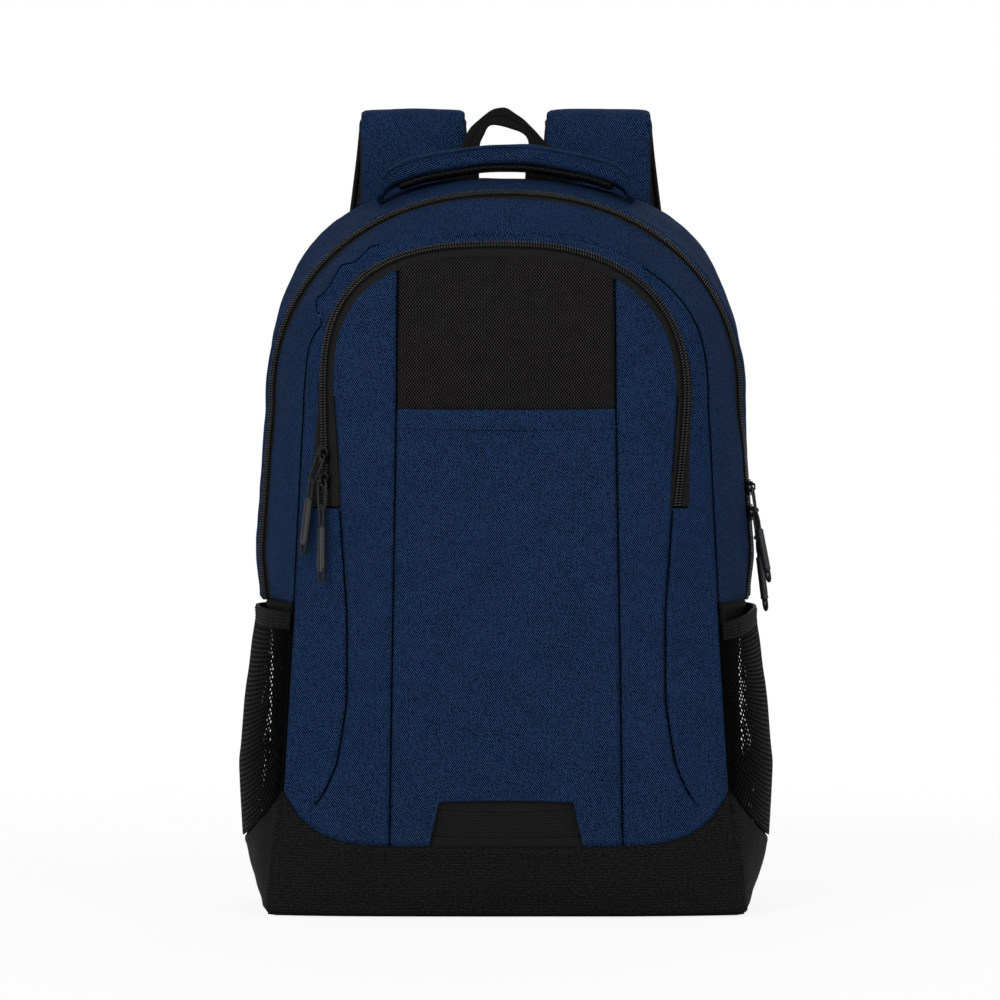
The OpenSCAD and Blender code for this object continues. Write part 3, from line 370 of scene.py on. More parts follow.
def connect(tree: bpy.types.NodeTree, node: bpy.types.Node, inputs: dict) -> None:
    """Sets a node's inputs, by name or number, to values or to the outputs of others."""
    for key, value in inputs.items():
        source = value.socket if isinstance(value, Value) else value
        if isinstance(source, Socket):
            tree.links.new(source, node.inputs[key])
        else:
            node.inputs[key].default_value = source


def add_node(tree: bpy.types.NodeTree, kind: str, inputs: dict | None = None, **settings: object) -> bpy.types.Node:
    """Adds a node.

    Args:
        tree: The tree that it goes into.
        kind: The node's type.
        inputs: Values, sockets or Values for its inputs, by name or number.
        settings: Its own settings, which are set first.

    Returns:
        The new node.
    """
    made = tree.nodes.new(kind)
    for key, value in settings.items():
        setattr(made, key, value)
    connect(tree, made, inputs or {})
    return made


class Shade:
    """One material's node tree, with its Principled shader."""

    def __init__(self, name: str) -> None:
        """Starts an empty material with a shader and an output."""
        self.material = bpy.data.materials.new(name)
        self.material.use_nodes = True
        self.tree = self.material.node_tree
        self.tree.nodes.clear()
        self.surface = add_node(self.tree, "ShaderNodeBsdfPrincipled")
        self.output = add_node(self.tree, "ShaderNodeOutputMaterial", {"Surface": self.surface.outputs[0]})

    def node(self, kind: str, inputs: dict | None = None, output: int | str = 0, **settings: object) -> Socket:
        """Adds a node, and gives its output of a name or number."""
        return add_node(self.tree, kind, inputs, **settings).outputs[output]

    def scaled(self, place: Socket) -> Socket:
        """A place in millimetres instead of metres."""
        return self.node("ShaderNodeVectorMath", {0: place, "Scale": 1 / MM}, operation="SCALE")

    def cloth_place(self) -> tuple[Value, Value, Socket]:
        """The piece's cloth coordinates in millimetres, and the same as a vector."""
        place = self.scaled(self.node("ShaderNodeUVMap", uv_map="cloth"))
        parts = add_node(self.tree, "ShaderNodeSeparateXYZ", {0: place})
        return Value(self, parts.outputs[0]), Value(self, parts.outputs[1]), place

    def object_place(self) -> Socket:
        """The object coordinates in millimetres."""
        return self.scaled(self.node("ShaderNodeTexCoord", output="Object"))

    def noise(self, place: Socket, size: float | tuple[float, float, float], detail: float = 2.0,
              rough: float = 0.5) -> Value:
        """Noise whose lumps are of a size in millimetres, which may differ along each axis."""
        sizes = size if isinstance(size, tuple) else (size, size, size)
        stretched = self.node("ShaderNodeVectorMath", {0: place, 1: tuple(1 / s for s in sizes)},
                              operation="MULTIPLY")
        return Value(self, self.node("ShaderNodeTexNoise", {"Vector": stretched, "Scale": 1.0, "Detail": detail,
                                                            "Roughness": rough}))

    def blend(self, share: "Value | float", low: tuple, high: tuple) -> Socket:
        """A colour between two, by a share from 0 to 1."""
        return self.node("ShaderNodeMix", {0: share, 6: (*low, 1.0), 7: (*high, 1.0)}, 2, data_type="RGBA")

    def finish(self, colour: Socket | tuple, rough: "Value | float", height: Value | None = None,
               relief: float = 0.1, metal: float = 0.0, coat: float = 0.0,
               specular: float = 0.5) -> bpy.types.Material:
        """Sets the shader's sockets.

        Args:
            colour: The base colour.
            rough: The roughness.
            height: The height field for the bump, from 0 to 1.
            relief: The bump's depth in millimetres.
            metal: How metallic it is.
            coat: The weight of a clear coat.
            specular: The level of the plain reflection.

        Returns:
            The material.
        """
        inputs = {"Base Color": (*colour, 1.0) if isinstance(colour, tuple) else colour, "Roughness": rough,
                  "Metallic": metal, "Sheen Weight": 0.0, "Sheen Roughness": 0.5, "Coat Weight": coat,
                  "Specular IOR Level": specular}
        if height is not None:
            inputs["Normal"] = self.node("ShaderNodeBump", {"Strength": 1.0, "Distance": relief * MM,
                                                            "Height": height})
        connect(self.tree, self.surface, inputs)
        return self.material


# ---------------------------------------------------------------------------------------------
# Finishes
# ---------------------------------------------------------------------------------------------
@dataclass(frozen=True)
class HeatherTwill:
    """Navy polyester twill with lighter and darker threads."""

    name: str = "navy_twill"
    slot: str = "navy_fabric"
    dark: tuple = (0.0005, 0.0010, 0.0034)
    light: tuple = (0.0280, 0.0680, 0.1760)
    across: float = 1.36
    up: float = 2.00

    def material(self) -> bpy.types.Material:
        """Fine diagonal ribs, with threads of two blues along both directions."""
        shade = Shade(self.name)
        u, v, place = shade.cloth_place()
        wander = shade.noise(place, 3.5, 1.0)
        jitter = shade.noise(place, (1.1, 0.9, 1.0), 1.0, 0.5)
        phase = u * (2 * math.pi / self.across) + v * (2 * math.pi / self.up) + wander * 3.0 + jitter * 3.2
        rib = (phase.sin() * 0.5 + 0.5) ** 3.0
        fleck = shade.noise(place, (0.8, 1.1, 1.0), 1.0, 0.5).ramp(0.32, 0.68)
        streak = shade.noise(place, (1.3, 7.0, 1.0), 2.0, 0.5).ramp(0.32, 0.68)
        cloud = shade.noise(place, 26.0, 2.0)
        share = (rib * 1.3 + 0.05) * (fleck * 1.1 + 0.3) * (streak * 0.5 + 0.75) * (cloud * 0.6 + 0.7)
        colour = shade.blend(share, self.dark, self.light)
        height = rib * 0.6 + fleck * 0.4
        return shade.finish(colour, 0.85, height, relief=0.2, specular=0.02)


@dataclass(frozen=True)
class BasketWeave:
    """Coarse black weave with a raised thread at each crossing."""

    name: str = "black_basket_weave"
    slot: str = "black_weave"
    dark: tuple = (0.0008, 0.0008, 0.0008)
    light: tuple = (0.063, 0.0585, 0.0565)
    across: float = 0.935
    up: float = 2.49

    def material(self) -> bpy.types.Material:
        """Columns of raised threads, every other one set half a thread higher."""
        shade = Shade(self.name)
        u, v, place = shade.cloth_place()
        column = u / self.across
        odd = (column.floor() * 0.5).fraction()
        row = v / self.up + odd
        bulge_u = 1 - ((column.fraction() - 0.5) * 2.0).abs() ** 2.0
        bulge_v = 1 - ((row.fraction() - 0.5) * 2.0).abs() ** 2.0
        knot = bulge_u * bulge_v
        fibre = shade.noise(place, (0.8, 1.6, 1.0), 2.0, 0.6)
        cloud = shade.noise(place, 9.0, 2.0)
        share = (knot.ramp(0.5, 1.0) * (fibre * 1.3 + 0.1)) * (cloud * 0.8 + 0.6)
        colour = shade.blend(share, self.dark, self.light)
        return shade.finish(colour, 0.78, knot * 0.8 + fibre * 0.2, relief=0.3, specular=0.06)


@dataclass(frozen=True)
class RibbedCloth:
    """Black polyester with fine ribs across it."""

    name: str = "black_ribbed_cloth"
    slot: str = "black_fabric"
    dark: tuple = (0.0006, 0.0006, 0.0006)
    light: tuple = (0.0122, 0.0119, 0.0119)
    rib: float = 1.9

    def material(self) -> bpy.types.Material:
        """Ribs that run across the piece, broken by the threads."""
        shade = Shade(self.name)
        _, v, place = shade.cloth_place()
        wander = shade.noise(place, 7.0, 1.0)
        line = (v + wander * 1.4).ripple(self.rib)
        thread = shade.noise(place, (1.9, 0.8, 1.0), 2.0, 0.6)
        cloud = shade.noise(place, 30.0, 2.0)
        share = line * thread.ramp(0.3, 0.6) * 0.6 + thread.ramp(0.42, 0.62) * 0.45 + cloud * 0.1
        colour = shade.blend(share, self.dark, self.light)
        return shade.finish(colour, 0.75, line * 0.7 + thread * 0.3, relief=0.16, specular=0.09)


@dataclass(frozen=True)
class Webbing:
    """Black webbing, ribbed along its length with a slanted weave."""

    name: str = "black_webbing"
    slot: str = "black_webbing"
    dark: tuple = (0.0004, 0.0004, 0.0004)
    light: tuple = (0.022, 0.0215, 0.021)
    cord: float = 1.86
    pick: float = 1.25

    def material(self) -> bpy.types.Material:
        """Chevrons between cords that run along v."""
        shade = Shade(self.name)
        u, v, place = shade.cloth_place()
        column = u / self.cord
        side = (column.fraction() - 0.5).abs() * 2.0
        slant = (v + side * 0.8).ripple(self.pick)
        bulge = 1 - (side ** 3.0)
        thread = shade.noise(place, (0.5, 0.9, 1.0), 3.0, 0.6)
        share = slant ** 3.0 * bulge * 1.3 + thread * 0.25 - 0.1
        colour = shade.blend(share, self.dark, self.light)
        return shade.finish(colour, 0.68, slant * 0.5 + bulge * 0.5, relief=0.2, specular=0.1)


@dataclass(frozen=True)
class PlainCloth:
    """A plain-woven lining or backing cloth."""

    name: str = "grey_lining"
    slot: str = "grey_lining"
    dark: tuple = (0.030, 0.031, 0.034)
    light: tuple = (0.075, 0.077, 0.082)

    def material(self) -> bpy.types.Material:
        """A fine plain weave on the object coordinates."""
        shade = Shade(self.name)
        place = shade.object_place()
        thread = shade.noise(place, 0.8, 3.0, 0.6)
        cloud = shade.noise(place, 24.0, 2.0)
        colour = shade.blend(thread * 0.6 + cloud * 0.4, self.dark, self.light)
        return shade.finish(colour, 0.8, thread, relief=0.12, specular=0.1)


@dataclass(frozen=True)
class SpacerMesh:
    """Black spacer mesh with a honeycomb of small dimples."""

    name: str = "black_spacer_mesh"
    slot: str = "black_mesh"
    dark: tuple = (0.0007, 0.0007, 0.0007)
    light: tuple = (0.0125, 0.0125, 0.0128)
    cell: float = 3.6

    def material(self) -> bpy.types.Material:
        """Two rows of round dimples, the second set between the first."""
        shade = Shade(self.name)
        u, v, place = shade.cloth_place()
        pitch_v = self.cell * math.sqrt(3)

        def dimple(shift: float) -> Value:
            """Distance from the middle of the nearest dimple, in cells."""
            a = ((u / self.cell + shift).fraction() - 0.5)
            b = ((v / pitch_v + shift).fraction() - 0.5) * math.sqrt(3)
            return (a * a + b * b) ** 0.5

        near = dimple(0.0).least(dimple(0.5))
        yarn = near.ramp(0.24, 0.42)
        fibre = shade.noise(place, 0.6, 3.0, 0.6)
        colour = shade.blend(yarn * (fibre * 0.7 + 0.4), self.dark, self.light)
        return shade.finish(colour, 0.6, yarn * 0.85 + fibre * 0.15, relief=0.9, specular=0.12)


@dataclass(frozen=True)
class Smooth:
    """A moulded, cast or nylon finish of one colour with a little grain."""

    name: str
    slot: str
    colour: tuple
    rough: float
    metal: float = 0.0
    coat: float = 0.0
    grain: float = 0.6
    relief: float = 0.03
    specular: float = 0.5

    def material(self) -> bpy.types.Material:
        """Fine grain in the roughness and the relief, with worn lighter spots."""
        shade = Shade(self.name)
        place = shade.object_place()
        fine = shade.noise(place, self.grain, 3.0, 0.6)
        wear = shade.noise(place, 6.0, 3.0)
        worn = tuple(min(1.0, c * 1.7 + 0.004) for c in self.colour)
        colour = shade.blend(wear.ramp(0.45, 0.8) * 0.6, self.colour, worn)
        return shade.finish(colour, fine * 0.2 + (self.rough - 0.1), fine, relief=self.relief,
                            metal=self.metal, coat=self.coat, specular=self.specular)


class Finish(Enum):
    """Every finish on the bag."""

    NAVY = HeatherTwill()
    WEAVE = BasketWeave()
    RIBBED = RibbedCloth()
    WEBBING = Webbing()
    LINING = PlainCloth()
    # Near-black cloth: the base's real backing, and also painted shade on the side walls behind the nets and under the
    # zips' teeth.
    BACKING_AND_SHADE = PlainCloth("black_backing_and_painted_shade", "black_fabric", (0.0008, 0.0008, 0.0008), (0.0035, 0.0035, 0.0035))
    BINDING = PlainCloth("black_binding", "black_fabric", (0.0040, 0.0039, 0.0038), (0.0135, 0.0130, 0.0125))
    SPACER = SpacerMesh()
    YARN = Smooth("mesh_yarn", "black_mesh", (0.0010, 0.0010, 0.0011), 0.5, grain=0.4, specular=0.02)
    # The coil's grey is partly black nylon and partly painted highlight: it is lighter to stand for the glints along
    # the teeth.
    COIL = Smooth("nylon_coil_and_painted_highlight", "zip_black", (0.036, 0.035, 0.034), 0.3, grain=0.5)
    METAL = Smooth("cast_metal", "black_metal", (0.008, 0.008, 0.0085), 0.22, metal=0.7, coat=0.5)
    GRIP = Smooth("moulded_grip", "black_rubber", (0.0075, 0.0075, 0.0078), 0.40, grain=0.5)
    CORD = Smooth("braided_cord", "black_rubber", (0.0030, 0.0030, 0.0030), 0.55, grain=0.35, relief=0.15,
                  specular=0.3)
    PLASTIC = Smooth("moulded_plastic", "black_plastic", (0.008, 0.008, 0.008), 0.42)
    BOARD = Smooth("stiffening_board", "board", (0.09, 0.09, 0.09), 0.7)
    THREAD = Smooth("navy_thread", "navy_fabric", (0.010, 0.030, 0.088), 0.7, grain=0.4, specular=0.12)
    # The sunk thread is partly real stitching and partly painted shade: its near-black colour darkens the seams'
    # grooves.
    SHADE = Smooth("sunk_thread_and_painted_seam_shade", "navy_fabric", (0.0006, 0.0009, 0.0020), 0.9, grain=0.4, specular=0.0)
    BLACK_THREAD = Smooth("black_thread", "black_fabric", (0.006, 0.006, 0.006), 0.7, grain=0.4, specular=0.12)


class Wardrobe:
    """Makes each finish's material once."""

    def __init__(self) -> None:
        """Starts with nothing made."""
        self.made: dict[Finish, bpy.types.Material] = {}

    def get(self, finish: Finish) -> bpy.types.Material:
        """The finish's material, made the first time it is asked for."""
        if finish not in self.made:
            self.made[finish] = finish.value.material()
        return self.made[finish]


WARDROBE = Wardrobe()


# ---------------------------------------------------------------------------------------------
# Mesh tools
# ---------------------------------------------------------------------------------------------
RIM_ANGLE = math.radians(58)


class Joining(Enum):
    """How an edge of a piece of cloth ends."""

    SEAM = "sewn into a groove"
    HEM = "turned under and stitched"
    JOINED = "goes on in the next piece"
    FREE = "cut or turned edge"


def link(name: str, data: bpy.types.ID) -> bpy.types.Object:
    """An object in the scene with its data."""
    made = bpy.data.objects.new(name, data)
    bpy.context.scene.collection.objects.link(made)
    return made


def evaluated(made: bpy.types.Object) -> bpy.types.Mesh:
    """An object's mesh with its modifiers applied."""
    graph = bpy.context.evaluated_depsgraph_get()
    return bpy.data.meshes.new_from_object(made.evaluated_get(graph), depsgraph=graph)


def points_of(mesh: bpy.types.Mesh) -> Array:
    """A mesh's points in metres, one in each row."""
    points = np.zeros(len(mesh.vertices) * 3, np.float32)
    mesh.vertices.foreach_get("co", points)
    return points.reshape(-1, 3)


def lay_cloth(mesh: bpy.types.Mesh, places: Array) -> None:
    """Gives a mesh cloth coordinates in metres, one row for each point."""
    layer = mesh.uv_layers.new(name="cloth")
    loops = np.zeros(len(mesh.loops), np.int32)
    mesh.loops.foreach_get("vertex_index", loops)
    layer.data.foreach_set("uv", places[loops].astype(np.float32).ravel())


def add_object(name: str, vertices: Array, faces: Sequence[Sequence[int]], finish: Finish,
               uv: Array | None = None) -> bpy.types.Object:
    """Makes a smooth mesh object from points in millimetres.

    Args:
        name: The piece's name.
        vertices: Its points, one in each row.
        faces: Its faces, as numbers of points.
        finish: Its finish.
        uv: Cloth coordinates in millimetres, one row for each point.

    Returns:
        The object, at the origin.
    """
    mesh = bpy.data.meshes.new(name)
    mesh.from_pydata((np.asarray(vertices, float) * MM).tolist(), [], [list(f) for f in faces])
    if uv is not None:
        lay_cloth(mesh, np.asarray(uv, float) * MM)
    mesh.materials.append(WARDROBE.get(finish))
    mesh.polygons.foreach_set("use_smooth", [True] * len(mesh.polygons))
    mesh.validate()
    return link(name, mesh)


def join(name: str, pieces: Sequence[bpy.types.Object]) -> bpy.types.Object:
    """Joins pieces into the first one, which gets the name."""
    if len(pieces) > 1:
        with bpy.context.temp_override(active_object=pieces[0], selected_editable_objects=list(pieces)):
            bpy.ops.object.join()
    pieces[0].name = name
    return pieces[0]


def along(grid: Array, axis: int) -> Array:
    """The distance of each point of a grid from the first row (axis 0) or column (axis 1)."""
    steps = np.linalg.norm(np.diff(grid, axis=axis), axis=-1)
    pad = [(1, 0), (0, 0)] if axis == 0 else [(0, 0), (1, 0)]
    return np.cumsum(np.pad(steps, pad), axis=axis)


def grid_normals(grid: Array, inside: Array) -> Array:
    """The unit normals of a grid of points, away from a point inside."""
    normals = unit(np.cross(np.gradient(grid, axis=0), np.gradient(grid, axis=1)))
    return -normals if np.sum(normals * (grid - inside)) < 0 else normals


def shell(outer: Array, inner: Array, keep: Array | None = None) -> tuple[Array, list[tuple[int, ...]], Array]:
    """A closed solid between two grids of points.

    Args:
        outer: The outer points, in rows.
        inner: The inner points, in the same rows.
        keep: Which cells are kept. All are if it isn't given.

    Returns:
        The points, the faces, which face outward, and which of both grids' points are used.
    """
    n, m = outer.shape[:2]
    keep = np.ones((n - 1, m - 1), bool) if keep is None else keep
    number = np.arange(n * m).reshape(n, m)
    a, b, c, d = number[:-1, :-1], number[1:, :-1], number[1:, 1:], number[:-1, 1:]
    facing = np.cross(outer[1:, :-1] - outer[:-1, :-1], outer[:-1, 1:] - outer[:-1, :-1])
    turned = np.sum(facing * (outer - inner)[:-1, :-1]) < 0
    quads = np.stack([a, b, c, d], -1)[keep]
    under = np.stack([a, d, c, b], -1)[keep] + n * m
    rims = []
    padded = np.pad(keep, 1)
    for first, second, step_p, step_q in ((d, a, -1, 0), (b, c, 1, 0), (a, b, 0, -1), (c, d, 0, 1)):
        edge = keep & ~padded[1 + step_p:n + step_p, 1 + step_q:m + step_q]
        f, s = first[edge], second[edge]
        rims.append(np.stack([s, s + n * m, f + n * m, f], -1))
    faces = np.concatenate([quads, under, *rims])
    if turned:
        faces = faces[:, ::-1]
    points = np.concatenate([outer.reshape(-1, 3), inner.reshape(-1, 3)])
    used = np.unique(faces)
    lookup = np.full(len(points), -1)
    lookup[used] = np.arange(len(used))
    return points[used], [tuple(f) for f in lookup[faces]], used


@dataclass
class Cloth:
    """A sewn piece of cloth on a grid of points, with its seams' relief and its thickness."""

    name: str
    grid: Array
    finish: Finish
    edges: tuple[Joining, ...]
    thick: float | Array
    uv: Array
    inside: tuple[float, float, float] = (0.0, 0.0, 220.0)
    creases: float = 1.0
    folds: Callable[[Array], Array] | None = None
    keep: Array | None = None
    lining: Finish | None = None
    groove: float = 1.3

    def _edge_relief(self, kind: Joining, d: Array) -> Array:
        """The height at a distance from an edge."""
        if kind is Joining.SEAM:
            return -self.groove * bell(d, 0.0, 1.5) + 0.45 * bell(d, 4.0, 2.6)
        if kind is Joining.HEM:
            fold = 0.5 * (1 - smoothstep((d - 6.0) / 1.6)) - 0.45 * bell(d, 5.6, 0.8)
            return fold - 0.7 * np.clip(1 - d / 1.0, 0, 1) ** 2
        if kind is Joining.FREE:
            return -0.6 * np.clip(1 - d / 0.9, 0, 1) ** 2
        return np.zeros_like(d)

    def distances(self) -> list[Array]:
        """The distance of each point from the four edges."""
        rows, columns = along(self.grid, 0), along(self.grid, 1)
        return [rows, rows[-1:] - rows, columns, columns[:, -1:] - columns]

    def surface(self) -> tuple[Array, Array]:
        """The outer surface with its relief, and the normals of the plain surface."""
        normals = grid_normals(self.grid, np.array(self.inside))
        height, pucker = np.zeros((2, *self.grid.shape[:2]))
        open_share = np.ones_like(height)
        for kind, d in zip(self.edges, self.distances()):
            height += self._edge_relief(kind, d)
            if kind in (Joining.SEAM, Joining.HEM):
                open_share *= smoothstep((d + 3.0) / 14.0)
                pucker += bell(d, 4.5, 3.5)
        g = self.grid
        large = waves(g, 85, 3) * 0.8 + waves(g, 34, 5) * 0.42 + waves(g, 15, 8) * 0.16
        small = waves(g, 7.5, 11) * 0.16 + waves(g, 12, 12) * 0.16
        height += self.creases * (large * open_share + small * pucker)
        if self.folds is not None:
            height += self.folds(g) * open_share
        return self.grid + normals * height[..., None], normals

    def build(self) -> bpy.types.Object:
        """Makes the mesh with its thickness."""
        outer, normals = self.surface()
        inner = outer - normals * np.broadcast_to(self.thick, self.grid.shape[:2])[..., None]
        points, faces, used = shell(outer, inner, self.keep)
        made = add_object(self.name, points, faces, self.finish, np.concatenate([self.uv.reshape(-1, 2)] * 2)[used])
        made.data.set_sharp_from_angle(angle=RIM_ANGLE)
        if self.lining is not None:
            made.data.materials.append(WARDROBE.get(self.lining))
            n, m = self.grid.shape[:2]
            cells = (n - 1) * (m - 1) if self.keep is None else int(self.keep.sum())
            for polygon in made.data.polygons[cells:2 * cells]:
                polygon.material_index = 1
        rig.slot(made, self.finish.value.slot)
        return made


def path_frames(points: Array, up: Array) -> tuple[Array, Array, Array]:
    """Unit directions along, across and out of a path.

    Args:
        points: The path's points, one in each row.
        up: The direction out of the surface at each point.

    Returns:
        The directions along, across and up, square to each other.
    """
    ahead = heading(points)
    across = unit(np.cross(up, ahead))
    return ahead, across, np.cross(ahead, across)


def even(points: Array, pitch: float, *others: Array) -> tuple[Array, ...]:
    """A path's points at an even pitch, with other values read at the same places."""
    length = run_of(points)
    count = max(1, int(round(length[-1] / pitch)))
    places = np.linspace(0, length[-1], count + 1)
    return tuple(np.stack([np.interp(places, length, v[:, k]) for k in range(v.shape[1])], 1)
                 for v in (points, *others))


def curve_through(points: Sequence[Sequence[float]], step: float = 2.0) -> Array:
    """A smooth curve through points (Catmull-Rom), with any number of values in each row.

    Args:
        points: The rows that it passes through. The first three values are the place.
        step: The distance between the curve's points.

    Returns:
        The curve's rows.
    """
    p = np.asarray(points, float)
    p = np.vstack([2 * p[0] - p[1], p, 2 * p[-1] - p[-2]])
    rows = []
    for k in range(1, len(p) - 2):
        a, b, c, d = p[k - 1:k + 3]
        count = max(2, int(np.linalg.norm((c - b)[:3]) / step))
        t = np.linspace(0, 1, count, endpoint=False)[:, None]
        rows.append(0.5 * (2 * b + (c - a) * t + (2 * a - 5 * b + 4 * c - d) * t ** 2
                           + (3 * b - a - 3 * c + d) * t ** 3))
    rows.append(p[-2:-1])
    return np.vstack(rows)


def outline(half: float, thick: float, square: tuple[float, float], sides: int) -> tuple[Array, Array]:
    """Points around a bar's section, closer together where it turns.

    Args:
        half: Half of the width.
        thick: Half of the thickness.
        square: Powers of the outline's width and thickness.
        sides: How many points.

    Returns:
        The points' shares of the half width and of the half thickness.
    """
    share = np.linspace(0, 1, 500)
    a = np.concatenate([(1 - share ** (2 / square[1])) ** (square[0] / 2), share[-2:0:-1]])
    b = np.concatenate([share, (1 - share[-2:0:-1] ** (2 / square[0])) ** (square[1] / 2)])
    order = np.argsort(np.arctan2(b, a))
    a, b = np.append(a[order], 0.0), np.append(b[order], 1.0)
    a = np.concatenate([a, -a[-2::-1], -a[1:], a[-2::-1]])
    b = np.concatenate([b, b[-2::-1], -b[1:], -b[-2::-1]])
    steps = np.stack([np.diff(a) * half, np.diff(b) * thick], -1)
    run = np.linalg.norm(steps, axis=1)
    bend = np.abs(np.diff(np.unwrap(np.arctan2(steps[:, 1], steps[:, 0])), prepend=math.pi / 2))
    pace = np.concatenate([[0], np.cumsum(run / run.sum() * 0.6 + bend / bend.sum() * 0.4)])
    places = np.linspace(0, pace[-1], sides, endpoint=False)
    return np.interp(places, pace, a), np.interp(places, pace, b)


def swept(name: str, middle: Array, across: Array, up: Array, half: Array | float, thick: Array | float,
          finish: Finish, sides: int, square: tuple[float, float], caps: tuple[float, float] = (3.0, 3.0),
          relief: Callable[[Array, Array], Array] | None = None, start: float = 0.0) -> bpy.types.Object:
    """A rounded bar along a path.

    Args:
        name: The piece's name.
        middle: The path's points.
        across: The unit direction of the width, one or one for each point.
        up: The unit direction of the thickness, likewise.
        half: Half of the width, likewise.
        thick: Half of the thickness, likewise.
        finish: The bar's finish.
        sides: Points around the bar.
        square: Powers of the outline's width and thickness. 1 is an ellipse and 0 is a box.
        caps: How far each closed end is rounded off. 0 is flat.
        relief: Height added at each point, from its place and its angle.
        start: The distance along at the first point.

    Returns:
        The object.
    """
    across, up = (np.broadcast_to(v, middle.shape) for v in (across, up))
    half, thick = (np.broadcast_to(v, len(middle)) for v in (half, thick))
    a, b = outline(float(np.mean(half)), float(np.mean(thick)), square, sides)
    angles = np.arctan2(np.sign(b) * np.abs(b) ** (1 / square[1]), np.sign(a) * np.abs(a) ** (1 / square[0]))
    rings = (middle[:, None] + across[:, None] * (half[:, None] * a)[..., None]
             + up[:, None] * (thick[:, None] * b)[..., None])
    if relief is not None:
        out = unit(across[:, None] * (a / np.maximum(half[:, None], 1))[..., None]
                   + up[:, None] * (b / np.maximum(thick[:, None], 0.5))[..., None])
        rings = rings + out * relief(rings, np.broadcast_to(angles, rings.shape[:2]))[..., None]
    n = len(middle)
    number = np.arange(n * sides).reshape(n, sides)
    after = np.roll(number, -1, axis=1)
    faces = [tuple(q) for q in np.stack([number[:-1], after[:-1], after[1:], number[1:]], -1).reshape(-1, 4)]
    closed = np.stack([np.append(a, a[0]) * np.mean(half), np.append(b, b[0]) * np.mean(thick)], 1)
    around = np.cumsum(np.linalg.norm(np.diff(closed, axis=0), axis=1))
    sides_uv = spread(around[None, :], (start + run_of(middle))[:, None])
    points, uv = [rings.reshape(-1, 3)], [sides_uv.reshape(-1, 2)]
    for row, sign in ((0, -1), (n - 1, 1)):
        ahead = unit(middle[min(row + 1, n - 1)] - middle[max(row - 1, 0)])
        reach = sign * min(thick[row], caps[0 if sign < 0 else 1])
        previous = number[row]
        for share, rise in ((0.8, 0.45), (0.45, 0.85)):
            now = np.arange(sides) + sum(len(p) for p in points)
            points.append(middle[row] + (rings[row] - middle[row]) * share + ahead * reach * rise)
            uv.append(sides_uv[row] + [0, reach * rise])
            ring = np.stack([previous, np.roll(previous, -1), np.roll(now, -1), now], -1)
            faces += [tuple(q) for q in ring[:, ::sign]]
            previous = now
        tip = np.full(sides, sum(len(p) for p in points))
        points.append((middle[row] + ahead * reach)[None])
        uv.append(uv[-1].mean(0, keepdims=True))
        faces += [tuple(q) for q in np.stack([previous, np.roll(previous, -1), tip], -1)[:, ::sign]]
    made = add_object(name, np.vstack(points), faces, finish, np.vstack(uv))
    outward(made)
    if min(caps) == 0:
        made.data.set_sharp_from_angle(angle=RIM_ANGLE)
    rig.slot(made, finish.value.slot)
    return made


def outward(made: bpy.types.Object) -> None:
    """Turns a closed mesh's faces outward."""
    work = bmesh.new()
    work.from_mesh(made.data)
    if work.calc_volume(signed=True) < 0:
        bmesh.ops.reverse_faces(work, faces=work.faces)
    work.to_mesh(made.data)
    work.free()


def tube(name: str, points: Array, radius: float, finish: Finish, sides: int = 10) -> bpy.types.Object:
    """A round tube along a path, with closed rounded ends."""
    ahead = heading(points)
    seed = np.array([0.0, 0.0, 1.0]) if abs(ahead[0][2]) < 0.9 else np.array([1.0, 0.0, 0.0])
    across = []
    last = unit(np.cross(seed, ahead[0]))
    for direction in ahead:
        last = unit(last - direction * np.dot(last, direction))
        across.append(last)
    across = np.array(across)
    return swept(name, points, across, np.cross(ahead, across), radius, radius, finish, sides, (1.0, 1.0))


